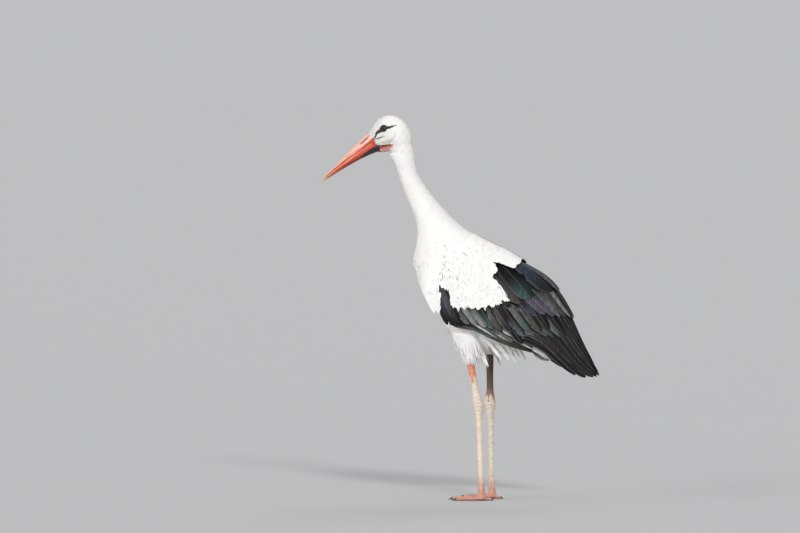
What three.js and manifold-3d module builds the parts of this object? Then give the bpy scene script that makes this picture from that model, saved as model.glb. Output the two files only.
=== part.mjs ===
// White stork (Ciconia ciconia), life size, standing at rest with folded wings.
// Millimetres. The bird faces -X, its left side is -Y, +Z is up and the soles lie on z = 0.
import * as THREE from 'three';
import { mergeVertices } from 'three/addons/utils/BufferGeometryUtils.js';
import Module from 'manifold-3d';

const wasm = await Module();
wasm.setup();

// ---------- driving dimensions ----------
const originShift = 72; // puts the origin under the middle of the bird's length
const seam = 0.4; // gap that two parts keep where they meet
const bill = { tip: [-430, 758], slope: 37, length: 167, culmen: 18.6, gular: 10, breadth: 13.5 };
const eye = { x: -252, z: 891, out: 21.5, radius: 6.8, lid: 1.7 };
const tail = {
  root: [84, 478], tip: [160, 341], feathers: 12, halfFan: 37, halfWidth: 13, layer: 1.4, tilt: 0.08,
  core: [[0, 8, 16, 22], [0.3, 6, 15, 26], [0.48, 4, 12.5, 30], [0.56, 1.5, 11, 29]],
}; // a row of core is its share of the length, its reach up and down, and half its width
const vaneThick = { shaft: 1.6, edge: 0.7 };
const vaneTilt = 0.12; // how far a wing feather leans, so that each lies over the next
const vaneCamber = 0.004; // how it follows the round of the wing
const legs = {
  left: { y: -40, knee: -22, ankle: -1, foot: 7 },
  right: { y: 40, knee: -3, ankle: -2, foot: 3 },
};
const toes = [
  { name: 'middle', turn: 0, length: 86, thick: 6.2 },
  { name: 'inner', turn: 34, length: 66, thick: 5.8 },
  { name: 'outer', turn: -36, length: 74, thick: 5.8 },
  { name: 'hind', turn: 172, length: 30, thick: 5 },
];

// Cross-sections of the trunk from inside the head to the vent. front and back are [x, z],
// and half is half the width.
const trunk = [
  { front: [-236, 856], back: [-198, 872], half: 15 }, // inside the skull
  { front: [-245, 827], back: [-186, 842], half: 24 }, // throat
  { front: [-230, 798], back: [-180, 803], half: 24 },
  { front: [-221, 769], back: [-171, 777], half: 23.5 },
  { front: [-210, 740], back: [-153, 750], half: 24.5 }, // middle of the neck
  { front: [-195, 709], back: [-127, 718], half: 30 },
  { front: [-181, 679], back: [-97, 687], half: 39 },
  { front: [-177, 645], back: [-63, 656], half: 49 }, // base of the neck
  { front: [-182, 604], back: [-26, 634], half: 58 }, // shoulders
  { front: [-179, 557], back: [8, 604], half: 62 },
  { front: [-156, 505], back: [46, 574], half: 66 }, // keel of the breast
  { front: [-126, 455], back: [76, 543], half: 65 },
  { front: [-93, 408], back: [97, 512], half: 63 },
  { front: [-58, 373], back: [106, 478], half: 59 },
  { front: [-18, 354], back: [109, 448], half: 53 }, // belly
  { front: [24, 350], back: [107, 420], half: 43 },
  { front: [56, 353], back: [100, 396], half: 28 }, // vent
  { front: [76, 360], back: [88, 374], half: 8 },
];
const plumes = {
  root: [22, 384], rootRun: [38, 8], tips: [[50, 339], [72, 335], [96, 333]], out: [10, 28], halfWidth: 10,
};
const neckJoin = 4;
const neckBase = 7;

// Cross-sections of the skull from the bill to the nape, top first.
const skull = [
  { front: billPoint(bill.length, bill.culmen - 0.5), back: billPoint(bill.length, -28), half: 13.5 },
  { front: [-297, 893], back: [-272, 833], half: 17.5 },
  { front: [-276, 914.5], back: [-262, 834], half: 22.5 },
  { front: [-249, 924], back: [-246, 836], half: 26 }, // through the eyes
  { front: [-222, 917.5], back: [-226, 832], half: 27.5 },
  { front: [-202, 900], back: [-209, 833], half: 23.5 },
  { front: [-191, 877], back: [-199, 842], half: 13 },
  { front: [-190, 865], back: [-194, 852], half: 4 },
];

// The folded wing follows a surface over the bird's side: its ridge, its lower edge and how far
// that edge stands out.
const wingRidge = curveThrough([[-163, 572], [-143, 605], [-100, 640], [-40, 641], [22, 615], [60, 598],
  [120, 564], [173, 525], [215, 467], [252, 392], [294, 318]]);
const wingEdge = curveThrough([[-163, 556], [-152, 527], [-122, 480], [-96, 442], [-67, 424], [-30, 411],
  [22, 394], [86, 380], [176, 350], [226, 308], [260, 284], [294, 281]]);
const wingSpread = curveThrough([[-163, 34], [-150, 52], [-132, 69], [-108, 79], [-72, 85], [0, 88],
  [80, 83], [144, 71], [200, 53], [250, 34], [294, 20]]);
const armTop = curveThrough([[-163, 0.8], [-134, 0.66], [-60, 0.46], [0, 0.3], [60, 0.08]]);
const arm = { front: -163, rear: 60, thick: 11, steps: 8, crowd: 1.3, bands: 5, sink: 8, flat: -25 };

// Tiers of wing feathers. root and tips are [x, share of the way down from ridge to edge], tipLift is
// the height of the tips over the wing's surface, and the first feather of a tier is its uppermost.
const tiers = {
  primaries: {
    tipLift: -7.5, halfWidth: 15,
    root: [[48, 0.62], [30, 0.95]],
    tips: [[262, 0.16], [282, 0.3], [294, 0.52], [287, 0.72], [262, 0.92]],
  },
  secondaries: {
    tipLift: -4, halfWidth: 16,
    root: [[28, 0.5], [-16, 0.84]],
    tips: [[219, 0.62], [194, 0.76], [166, 0.83], [134, 0.88], [96, 0.92], [54, 0.935]],
  },
  tertials: {
    tipLift: -2.2, halfWidth: 19,
    root: [[16, 0.16], [10, 0.46]],
    tips: [[228, 0.17], [208, 0.36], [182, 0.55], [150, 0.64]],
  },
  greaterCoverts: {
    tipLift: -1, halfWidth: 14,
    root: [[2, 0.56], [-84, 0.86]],
    tips: [[128, 0.74], [98, 0.83], [62, 0.89], [24, 0.91], [-12, 0.925]],
  },
  scapulars: {
    tipLift: 1.2, halfWidth: 17,
    root: [[-4, 0.2], [-10, 0.44]],
    tips: [[189, 0.11], [161, 0.32], [134, 0.58]],
  },
  whiteCoverts: {
    tipLift: 1.8, halfWidth: 14,
    root: [[-26, 0.46], [-138, 0.82]],
    tips: [[50, 0.46], [76, 0.58], [93, 0.68], [56, 0.78], [8, 0.85], [-48, 0.9]],
  },
  primaryCoverts: {
    tipLift: -0.5, halfWidth: 10,
    root: [[-112, 0.86], [-118, 0.95]],
    tips: [[-33, 0.95], [-46, 0.98]],
  },
};
const rootDepth = 2; // how deep a wing feather's root sits in the arm
const wingEnds = [-156, 293]; // where the wing's surface still has a steady normal

// ---------- helpers ----------
// A point of the bill's side view, from how far it is behind the tip and above the bill's axis.
function billPoint(behind, above) {
  const slope = THREE.MathUtils.degToRad(bill.slope);
  return [
    bill.tip[0] + behind * Math.cos(slope) - above * Math.sin(slope),
    bill.tip[1] + behind * Math.sin(slope) + above * Math.cos(slope),
  ];
}

// A smooth function through [x, value] points, held level beyond its ends.
function curveThrough(points) {
  const slopeAt = (i) => {
    const a = points[Math.max(i - 1, 0)];
    const b = points[Math.min(i + 1, points.length - 1)];
    return (b[1] - a[1]) / (b[0] - a[0]);
  };
  return (x) => {
    const inside = THREE.MathUtils.clamp(x, points[0][0], points.at(-1)[0]);
    let i = 0;
    while (i < points.length - 2 && inside > points[i + 1][0]) i += 1;
    const span = points[i + 1][0] - points[i][0];
    const s = (inside - points[i][0]) / span;
    const [p, q] = [points[i][1], points[i + 1][1]];
    const [m, n] = [slopeAt(i) * span, slopeAt(i + 1) * span];
    return (2 * s ** 3 - 3 * s ** 2 + 1) * p + (s ** 3 - 2 * s ** 2 + s) * m
      + (3 * s ** 2 - 2 * s ** 3) * q + (s ** 3 - s ** 2) * n;
  };
}

// The cross-section at u rows along a list of sections.
function sectionAt(rows, u) {
  const i = Math.min(Math.floor(u), rows.length - 2);
  const row = (k) => rows[THREE.MathUtils.clamp(k, 0, rows.length - 1)];
  const mix = (pick) => {
    const [a, b, c, d] = [i - 1, i, i + 1, i + 2].map((k) => pick(row(k)));
    const s = u - i;
    return b + 0.5 * s * (c - a + s * (2 * a - 5 * b + 4 * c - d + s * (3 * (b - c) + d - a)));
  };
  return {
    front: new THREE.Vector3(mix((r) => r.front[0]), 0, mix((r) => r.front[1])),
    back: new THREE.Vector3(mix((r) => r.back[0]), 0, mix((r) => r.back[1])),
    half: mix((r) => r.half),
  };
}

function meshOf(vertices, triangles) {
  const geometry = new THREE.BufferGeometry();
  const places = vertices.flatMap((v) => v.toArray());
  geometry.setAttribute('position', new THREE.Float32BufferAttribute(places, 3));
  geometry.setIndex(triangles.flat());
  return geometry;
}

// A closed skin over rings of points, each end closed to the middle of its ring.
function skin(rings) {
  const sides = rings[0].length;
  const vertices = rings.flat();
  const triangles = [];
  for (let i = 0; i < rings.length - 1; i += 1) {
    for (let j = 0; j < sides; j += 1) {
      const [a, b] = [i * sides + j, i * sides + ((j + 1) % sides)];
      const [c, d] = [a + sides, b + sides];
      if (j < sides / 2) triangles.push([a, b, d], [a, d, c]);
      else triangles.push([a, b, c], [b, d, c]);
    }
  }
  const middle = (ring) => ring.reduce((sum, v) => sum.add(v), new THREE.Vector3()).divideScalar(sides);
  const [first, last] = [vertices.length, vertices.length + 1];
  vertices.push(middle(rings[0]), middle(rings.at(-1)));
  for (let j = 0; j < sides; j += 1) {
    const k = (j + 1) % sides;
    triangles.push([first, k, j], [last, (rings.length - 1) * sides + j, (rings.length - 1) * sides + k]);
  }
  return meshOf(vertices, triangles);
}

// A closed slab between two grids of points, split into triangles alike on both faces.
function slab(over, under) {
  const [rows, columns] = [over.length, over[0].length];
  const vertices = [...over.flat(), ...under.flat()];
  const triangles = [];
  const top = (i, j) => i * columns + j;
  const low = (i, j) => rows * columns + top(i, j);
  const quad = (a, b, c, d) => triangles.push([a, b, c], [a, c, d]);
  for (let i = 0; i < rows - 1; i += 1) {
    for (let j = 0; j < columns - 1; j += 1) {
      quad(top(i, j), top(i + 1, j), top(i + 1, j + 1), top(i, j + 1));
      triangles.push([low(i, j), low(i + 1, j + 1), low(i + 1, j)]);
      triangles.push([low(i, j), low(i, j + 1), low(i + 1, j + 1)]);
    }
    quad(top(i, 0), low(i, 0), low(i + 1, 0), top(i + 1, 0));
    quad(top(i + 1, columns - 1), low(i + 1, columns - 1), low(i, columns - 1), top(i, columns - 1));
  }
  for (let j = 0; j < columns - 1; j += 1) {
    quad(top(0, j + 1), low(0, j + 1), low(0, j), top(0, j));
    quad(top(rows - 1, j), low(rows - 1, j), low(rows - 1, j + 1), top(rows - 1, j + 1));
  }
  return meshOf(vertices, triangles);
}

function loft(rows, { from = 0, to = rows.length - 1, steps, sides, y = 0, grow = 0, shape = (u) => u }) {
  const rings = [];
  for (let i = 0; i <= steps; i += 1) {
    const { front, back, half } = sectionAt(rows, from + ((to - from) * i) / steps);
    const middle = front.clone().add(back).multiplyScalar(0.5);
    const reach = front.clone().sub(middle);
    reach.setLength(reach.length() + grow);
    rings.push(Array.from({ length: sides }, (_, j) => {
      const angle = (2 * Math.PI * (j + 0.5)) / sides;
      const point = middle.clone().addScaledVector(reach, shape(Math.cos(angle)));
      point.y = y + (half + grow) * Math.sin(angle);
      return point;
    }));
  }
  return skin(rings);
}

// Booleans. Each takes and gives three.js geometry.
function solidOf(geometry) {
  const make = (flip) => {
    const triVerts = Uint32Array.from(geometry.index.array);
    for (let i = 0; flip && i < triVerts.length; i += 3) {
      [triVerts[i], triVerts[i + 1]] = [triVerts[i + 1], triVerts[i]];
    }
    const vertProperties = Float32Array.from(geometry.attributes.position.array);
    return new wasm.Manifold(new wasm.Mesh({ numProp: 3, vertProperties, triVerts }));
  };
  const solid = make(false);
  return solid.volume() > 0 ? solid : make(true);
}

function geometryOf(solid) {
  const largest = solid.decompose().reduce((a, b) => (b.volume() > a.volume() ? b : a));
  const { vertProperties, triVerts } = largest.getMesh();
  const geometry = new THREE.BufferGeometry();
  geometry.setAttribute('position', new THREE.BufferAttribute(Float32Array.from(vertProperties), 3));
  geometry.setIndex(new THREE.BufferAttribute(Uint32Array.from(triVerts), 1));
  return geometry;
}

function join(pieces, cutters = []) {
  const joined = pieces.map(solidOf).reduce((a, b) => a.add(b));
  return geometryOf(cutters.map(solidOf).reduce((a, b) => a.subtract(b), joined));
}

// Sphere and ring, closed by merging their shared points.
function merged(geometry) {
  geometry.deleteAttribute('normal');
  geometry.deleteAttribute('uv');
  return mergeVertices(geometry, 1e-4);
}

// ---------- feathers ----------
const vaneStations = [
  { s: 0, wide: 0.5 },
  { s: 0.35, wide: 0.95, bend: true },
  { s: 0.7, wide: 1 },
  { s: 0.91, wide: 0.72 },
  { s: 1, wide: 0.22 },
];
const straightStations = vaneStations.filter(({ bend }) => !bend); // for a vane that doesn't curve

// One vane along a path. The path gives a point and the outward normal at s, and tilt raises one
// edge over the next vane.
function vane(path, halfWidth, tilt, camber, stations = vaneStations) {
  const over = [];
  const under = [];
  for (const { s, wide } of stations) {
    const { point, normal } = path(s);
    const along = path(Math.min(s + 0.02, 1)).point.sub(path(Math.max(s - 0.02, 0)).point).normalize();
    const across = new THREE.Vector3().crossVectors(normal, along).normalize();
    const half = halfWidth * wide;
    const thin = s === 1 ? 0.7 : 1;
    const place = (side, sign) => {
      const thick = THREE.MathUtils.lerp(vaneThick.shaft, vaneThick.edge, Math.abs(side)) * thin;
      const rise = tilt * half * side - camber * (half * side) ** 2 + (sign * thick) / 2;
      return point.clone().addScaledVector(across, half * side).addScaledVector(normal, rise);
    };
    over.push([-1, 0, 1].map((side) => place(side, 1)));
    under.push([-1, 0, 1].map((side) => place(side, -1)));
  }
  return slab(over, under);
}

// ---------- wing ----------
function wingPoint(x, share) {
  const at = (px, pt) => {
    const angle = (pt * Math.PI) / 2;
    const drop = (wingRidge(px) - wingEdge(px)) * (1 - Math.cos(angle));
    return new THREE.Vector3(px, -wingSpread(px) * Math.sin(angle), wingRidge(px) - drop);
  };
  const near = THREE.MathUtils.clamp(x, ...wingEnds);
  const alongX = at(near + 1, share).sub(at(near - 1, share));
  const downward = at(near, share + 0.005).sub(at(near, share - 0.005));
  return { point: at(x, share), normal: new THREE.Vector3().crossVectors(downward, alongX).normalize() };
}

// How far the arm's outer face lies under the wing's surface.
function armSink(x) {
  return arm.sink * THREE.MathUtils.smoothstep(x, arm.flat, arm.rear);
}

function wingArm() {
  const over = [];
  const under = [];
  for (let i = 0; i <= arm.steps; i += 1) {
    const x = THREE.MathUtils.lerp(arm.front, arm.rear, (i / arm.steps) ** arm.crowd);
    const sink = armSink(x);
    const thick = THREE.MathUtils.lerp(arm.thick, 3, THREE.MathUtils.smoothstep(x, arm.flat, arm.rear));
    const blunt = i === 0 ? 3 : 0;
    const [outer, inner] = [[], []];
    for (let j = 0; j <= arm.bands; j += 1) {
      const { point, normal } = wingPoint(x, THREE.MathUtils.lerp(armTop(x), 1, j / arm.bands));
      const edge = j === 0 || j === arm.bands ? 2.5 : 0;
      outer.push(point.clone().addScaledVector(normal, -sink - edge - blunt));
      inner.push(point.clone().addScaledVector(normal, -sink - thick + edge + blunt));
    }
    over.push(outer);
    under.push(inner);
  }
  return slab(over, under);
}

function wingFeathers({ tipLift, halfWidth, root, tips }) {
  return tips.map((tip, i) => {
    const k = i / (tips.length - 1);
    const start = [0, 1].map((axis) => THREE.MathUtils.lerp(root[0][axis], root[1][axis], k));
    const rootLift = -armSink(start[0]) - rootDepth;
    const path = (s) => {
      const x = THREE.MathUtils.lerp(start[0], tip[0], s);
      const { point, normal } = wingPoint(x, THREE.MathUtils.lerp(start[1], tip[1], s));
      return { point: point.addScaledVector(normal, THREE.MathUtils.lerp(rootLift, tipLift, s)), normal };
    };
    return vane(path, halfWidth, -vaneTilt, vaneCamber);
  });
}

function mirrored(geometry) {
  const copy = geometry.clone().scale(1, -1, 1);
  const index = copy.index.array;
  for (let i = 0; i < index.length; i += 3) [index[i], index[i + 1]] = [index[i + 1], index[i]];
  return copy;
}

// ---------- tail ----------
function tailFeathers() {
  const [start, end] = [tail.root, tail.tip];
  const along = new THREE.Vector3(end[0] - start[0], 0, end[1] - start[1]).normalize();
  const normal = new THREE.Vector3(-along.z, 0, along.x);
  const length = Math.hypot(end[0] - start[0], end[1] - start[1]);
  return Array.from({ length: tail.feathers }, (_, i) => {
    const k = (2 * i) / (tail.feathers - 1) - 1; // -1 on the left, 1 on the right
    const lower = -tail.layer * Math.abs(k) * tail.feathers * 0.5;
    const path = (s) => {
      const reach = length * (1 - 0.06 * k * k) * s;
      const point = new THREE.Vector3(start[0], k * THREE.MathUtils.lerp(14, tail.halfFan, s), start[1])
        .addScaledVector(along, reach)
        .addScaledVector(normal, lower - 5 * k * k * s);
      return { point, normal: normal.clone() };
    };
    return vane(path, tail.halfWidth, Math.sign(k) * tail.tilt, 0.002, straightStations);
  });
}

// The rump inside the tail's fan, which joins its feathers.
function tailCore() {
  const at = (s) => tail.root.map((start, axis) => THREE.MathUtils.lerp(start, tail.tip[axis], s));
  const [run, rise] = [tail.tip[0] - tail.root[0], tail.tip[1] - tail.root[1]];
  const normal = [-rise, run].map((value) => value / Math.hypot(run, rise));
  const rows = tail.core.map(([s, up, down, half]) => ({
    front: at(s).map((value, axis) => value - normal[axis] * down),
    back: at(s).map((value, axis) => value + normal[axis] * up),
    half,
  }));
  return loft(rows, { steps: 6, sides: 14 });
}

// Loose pointed plumes that hang behind the thighs.
function ventPlumes(side) {
  return plumes.tips.map(([x, z], i) => {
    const k = i / (plumes.tips.length - 1);
    const [rootX, rootZ] = [0, 1].map((axis) => plumes.root[axis] + plumes.rootRun[axis] * k);
    const start = new THREE.Vector3(rootX, side * plumes.out[1] * (1 - 0.4 * k), rootZ);
    const end = new THREE.Vector3(x, side * THREE.MathUtils.lerp(plumes.out[1], plumes.out[0], k), z);
    const normal = new THREE.Vector3(0.3, side, 0).normalize();
    const path = (s) => ({ point: start.clone().lerp(end, s), normal });
    return vane(path, plumes.halfWidth, 0, 0.01, straightStations);
  });
}

// ---------- bill ----------
function billSections(lower) {
  const rows = [];
  for (const behind of [0, 5, 16, 36, 64, 96, 130, bill.length - seam]) {
    const share = behind / bill.length;
    const closed = -0.06 * behind;
    const culmen = 0.9 + bill.culmen * share ** 0.8;
    const under = -0.9 - 0.115 * behind - bill.gular * share ** 4;
    const half = 1.1 + bill.breadth * share ** 0.85;
    rows.push(lower
      ? { front: billPoint(behind, under), back: billPoint(behind, closed - seam / 2), half }
      : { front: billPoint(behind, culmen), back: billPoint(behind, closed + seam / 2), half });
  }
  return rows;
}

// Flattens the side of a section where the two halves of the bill close.
function closingFlat(c) {
  const cut = -0.4;
  return (2 * (Math.max(c, cut) - cut)) / (1 - cut) - 1;
}

// ---------- head ----------
function ellipsoid([x, y, z], [rx, ry, rz], turn = 0) {
  return merged(new THREE.SphereGeometry(1, 12, 6)).scale(rx, ry, rz).rotateY(turn).translate(x, y, z);
}

function eyeBall(side, grow = 0) {
  return merged(new THREE.SphereGeometry(eye.radius + grow, 14, 9)).rotateX(Math.PI / 2)
    .translate(eye.x, side * eye.out, eye.z);
}

function lidRing(side) {
  const ring = merged(new THREE.TorusGeometry(eye.radius + 0.3, eye.lid, 5, 14));
  return ring.rotateX(Math.PI / 2).rotateZ(side * 0.16).translate(eye.x, side * (eye.out + 2.2), eye.z);
}

// ---------- legs ----------
const legWidths = [
  { z: 327.6, x: 9.2, y: 8.2 },
  { z: 300, x: 8.2, y: 7.5 },
  { z: 262, x: 8.4, y: 7.6 },
  { z: 245, x: 11.6, y: 9.8 },
  { z: 230, x: 13.8, y: 11.4 }, // ankle
  { z: 216, x: 12.2, y: 10.4 },
  { z: 202, x: 8.8, y: 7.8 },
  { z: 180, x: 7.3, y: 6.3 },
  { z: 110, x: 6.8, y: 5.8 },
  { z: 45, x: 7, y: 6 },
  { z: 26, x: 8.6, y: 7.6 },
  { z: 9, x: 9.5, y: 9 },
];
const ankleRow = 4;
const ankleEnd = 6;
const footTop = 10;

function legSections(leg) {
  return legWidths.map(({ z, x, y }) => {
    const [high, low] = z > legWidths[ankleRow].z
      ? [[legWidths[0].z, leg.knee], [legWidths[ankleRow].z, leg.ankle]]
      : [[legWidths[ankleRow].z, leg.ankle], [legWidths.at(-1).z, leg.foot]];
    const middle = THREE.MathUtils.mapLinear(z, high[0], low[0], high[1], low[1]);
    return { front: [middle - x, z], back: [middle + x, z], half: y };
  });
}

function thighSections(leg) {
  const shift = leg.knee + 22;
  return [
    { front: [-72 + shift / 4, 424], back: [28 + shift / 4, 440], half: 26 },
    { front: [-64 + shift / 2, 388], back: [14 + shift / 2, 396], half: 25 },
    { front: [-50 + shift, 360], back: [4 + shift, 364], half: 21 },
    { front: [-34 + shift, 328], back: [-9 + shift, 328], half: 12.5 },
  ];
}

function foot(leg) {
  const pieces = toes.map((toe) => toeOf(leg, toe));
  pieces.push(loft(legSections(leg), { from: footTop, steps: 3, sides: 12, y: leg.y }));
  pieces.push(grounded(ellipsoid([leg.foot - 4, leg.y, 6], [17, 15, 7])));
  return pieces;
}

// A toe with a swelling at each joint and a short claw, flat where it stands.
function toeOf(leg, { turn, length, thick }) {
  const out = leg.y < 0 ? -1 : 1;
  const yaw = THREE.MathUtils.degToRad(turn) * -out;
  const ahead = new THREE.Vector3(-Math.cos(yaw), Math.sin(yaw), 0);
  const across = new THREE.Vector3(-ahead.y, ahead.x, 0);
  const stations = [0, 0.18, 0.34, 0.5, 0.66, 0.82, 0.88, 1];
  const rings = stations.map((s, i) => {
    const swelling = i % 2 === 0 ? 1 : 0.84;
    const size = s > 0.82 ? thick * 0.55 * (1.12 - s) / 0.3 : thick * (1 - 0.3 * s) * swelling;
    const middle = new THREE.Vector3(leg.foot, leg.y, Math.max(size * 0.8, 0.6));
    middle.addScaledVector(ahead, length * s);
    return Array.from({ length: 7 }, (_, j) => {
      const angle = Math.PI / 2 + (2 * Math.PI * j) / 7;
      const point = middle.clone().addScaledVector(across, size * 0.9 * Math.cos(angle));
      point.z = Math.max(point.z + size * 1.05 * Math.sin(angle), 0);
      return point;
    });
  });
  return skin(rings);
}

function grounded(geometry) {
  const position = geometry.attributes.position;
  for (let i = 0; i < position.count; i += 1) position.setZ(i, Math.max(position.getZ(i), 0));
  return geometry;
}

// ---------- materials ----------
const finish = (color, roughness) => new THREE.MeshStandardMaterial({ color, roughness, metalness: 0 });
const whitePlumage = finish(0xf2efe6, 0.85);
const blackQuills = finish(0x1c1e20, 0.45);
const redHorn = finish(0xc8451f, 0.4);
const redSkin = finish(0xb8685c, 0.6);
const darkEye = finish(0x0d0b0a, 0.1);

// ---------- the bird ----------
const stork = new THREE.Group();
stork.position.x = originShift;

function add(name, geometry, material) {
  const mesh = new THREE.Mesh(geometry, material);
  mesh.name = name;
  stork.add(mesh);
}

const skullLoft = (grow) => loft(skull, { steps: 18, sides: 20, grow });
const sides = [-1, 1];
const eyeHollows = sides.map((side) => eyeBall(side, seam));
add('head', join([skullLoft(0), ...sides.map(lidRing)], eyeHollows), whitePlumage);
add('eye_left', eyeBall(-1), darkEye);
add('eye_right', eyeBall(1), darkEye);

const nostrils = sides.map((side) => {
  const [x, z] = billPoint(142, 5.5);
  return ellipsoid([x, side * 11.2, z], [8, 2.4, 1.1], -THREE.MathUtils.degToRad(bill.slope));
});
const billLoft = (lower) => loft(billSections(lower), {
  steps: 14, sides: 14, shape: closingFlat,
});
add('bill_upper', join([billLoft(false)], nostrils), redHorn);
add('bill_lower', join([billLoft(true)]), redHorn);

const trunkLoft = (from, to, steps, around, grow = 0) => loft(trunk, {
  from, to, steps, sides: around, grow,
});
add('neck_upper', join([trunkLoft(0, neckJoin, 8, 16)], [skullLoft(seam)]), whitePlumage);
add('neck_lower', join([trunkLoft(neckJoin + 0.02, neckBase, 6, 16)]), whitePlumage);
const torsoLoft = (grow) => trunkLoft(neckBase + 0.02, trunk.length - 1, 18, 22, grow);
add('torso', join([torsoLoft(0), ...sides.flatMap(ventPlumes)]), whitePlumage);

const thighs = Object.values(legs).map((leg) => (grow) => loft(thighSections(leg), {
  steps: 6, sides: 16, y: leg.y, grow,
}));
Object.entries(legs).forEach(([name, leg], i) => {
  add(`thigh_${name}`, join([thighs[i](0)], [torsoLoft(seam)]), whitePlumage);
  const sections = legSections(leg);
  add(`shank_${name}`, join([loft(sections, { to: ankleEnd, steps: 14, sides: 12, y: leg.y })]), redSkin);
  add(`tarsus_${name}`, join([loft(sections, {
    from: ankleEnd + 0.03, to: footTop - 0.03, steps: 8, sides: 12, y: leg.y,
  })]), redSkin);
  add(`foot_${name}`, join(foot(leg)), redSkin);
});

add('tail', join([...tailFeathers(), tailCore()], [torsoLoft(seam)]), whitePlumage);

const midline = merged(new THREE.BoxGeometry(700, seam, 700)).translate(60, 0, 450);
const leftWing = join(
  [wingArm(), ...Object.values(tiers).flatMap(wingFeathers)],
  [torsoLoft(seam), thighs[0](seam), midline],
);
add('wing_left', leftWing, blackQuills);
add('wing_right', mirrored(leftWing), blackQuills);

export default stork;
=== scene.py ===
import bpy
import math
import numpy as np
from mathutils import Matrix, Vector
from mathutils.bvhtree import BVHTree


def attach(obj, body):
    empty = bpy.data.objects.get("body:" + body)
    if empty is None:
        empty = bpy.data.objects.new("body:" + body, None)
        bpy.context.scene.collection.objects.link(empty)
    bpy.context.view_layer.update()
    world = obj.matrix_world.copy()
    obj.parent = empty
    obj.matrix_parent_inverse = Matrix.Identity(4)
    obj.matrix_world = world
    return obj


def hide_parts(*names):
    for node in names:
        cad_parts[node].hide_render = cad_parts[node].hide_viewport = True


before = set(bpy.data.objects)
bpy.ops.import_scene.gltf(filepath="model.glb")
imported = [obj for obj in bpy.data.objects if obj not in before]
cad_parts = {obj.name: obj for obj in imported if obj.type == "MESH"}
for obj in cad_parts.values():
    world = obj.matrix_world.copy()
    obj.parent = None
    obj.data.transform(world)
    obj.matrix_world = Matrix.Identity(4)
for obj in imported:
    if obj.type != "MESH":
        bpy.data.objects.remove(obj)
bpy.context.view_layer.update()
chance = np.random.default_rng(41)  # every random draw comes from here
print("frame loaded,", len(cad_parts), "nodes")

# The bird is measured in millimetres from its own middle. toFrame turns a measure into a place in the frame.
originShift = 72.0
leftRight = {"left": -1, "right": 1}  # which way y grows


def toFrame(points):
    return (np.asarray(points, float) + [originShift, 0, 0]) * 0.001


def fromFrame(points):
    return points * 1000 - [originShift, 0, 0]


# camera and studio
studio = {
    "azimuth": 22.0, "elevation": 1.5, "distance": 15.0,  # seen from the bird's left and a little ahead
    "fieldWidth": 1.92, "aimSide": -0.204, "aimHeight": 0.56,  # what the picture takes in
    "sensor": 36.0, "farthest": 4000.0,
    "floorSize": 3000.0, "floorColour": (0.497, 0.498, 0.50, 1),
    "skyColour": (0.98, 0.985, 1.0, 1), "skyPower": 0.53,
    "lights": [  # name, side, height, away, strength, softness in degrees
        ("key", 0.6, 1.5, 2.7, 1.5, 9.0),
        ("fill", -3.0, 0.6, 1.8, 1.9, 60.0),
        ("rim", 1.0, 2.2, -2.2, 0.45, 30.0),
    ],
}


def sideVector():
    a = math.radians(studio["azimuth"])
    return Vector((math.cos(a), math.sin(a), 0))


def backVector(elevation):
    a, e = math.radians(studio["azimuth"]), math.radians(elevation)
    return Vector((math.sin(a) * math.cos(e), -math.cos(a) * math.cos(e), math.sin(e)))


def makeCamera():
    aim = Vector((originShift * 0.001, 0, studio["aimHeight"])) + sideVector() * studio["aimSide"]
    back = backVector(studio["elevation"])
    bpy.ops.object.camera_add(location=aim + back * studio["distance"])
    camera = bpy.context.object
    camera.name = "camera"
    camera.rotation_euler = back.to_track_quat("Z", "Y").to_euler()
    camera.data.sensor_width = studio["sensor"]
    camera.data.lens = studio["sensor"] * studio["distance"] / studio["fieldWidth"]
    camera.data.clip_end = studio["farthest"]
    bpy.context.scene.camera = camera
    bpy.context.scene.view_settings.view_transform = "Standard"


def makeLights():
    for name, side, height, away, strength, softness in studio["lights"]:
        toLight = sideVector() * side + backVector(0) * away + Vector((0, 0, height))
        bpy.ops.object.light_add(type="SUN", location=toLight)
        lamp = bpy.context.object
        lamp.name = name + "_light"
        lamp.rotation_euler = toLight.to_track_quat("Z", "Y").to_euler()
        lamp.data.energy = strength
        lamp.data.angle = math.radians(softness)
    world = bpy.data.worlds.new("studio")
    world.use_nodes = True
    background = world.node_tree.nodes["Background"]
    background.inputs["Color"].default_value = studio["skyColour"]
    background.inputs["Strength"].default_value = studio["skyPower"]
    bpy.context.scene.world = world


# Shader maths: a Value is a socket that can be subtracted and multiplied, and a Paint is one material.
class Value:
    def __init__(self, paint, socket):
        self.paint = paint
        self.socket = socket

    def __sub__(self, other):
        return self.paint.maths("SUBTRACT", self, other)

    def __mul__(self, other):
        return self.paint.maths("MULTIPLY", self, other)


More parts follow.
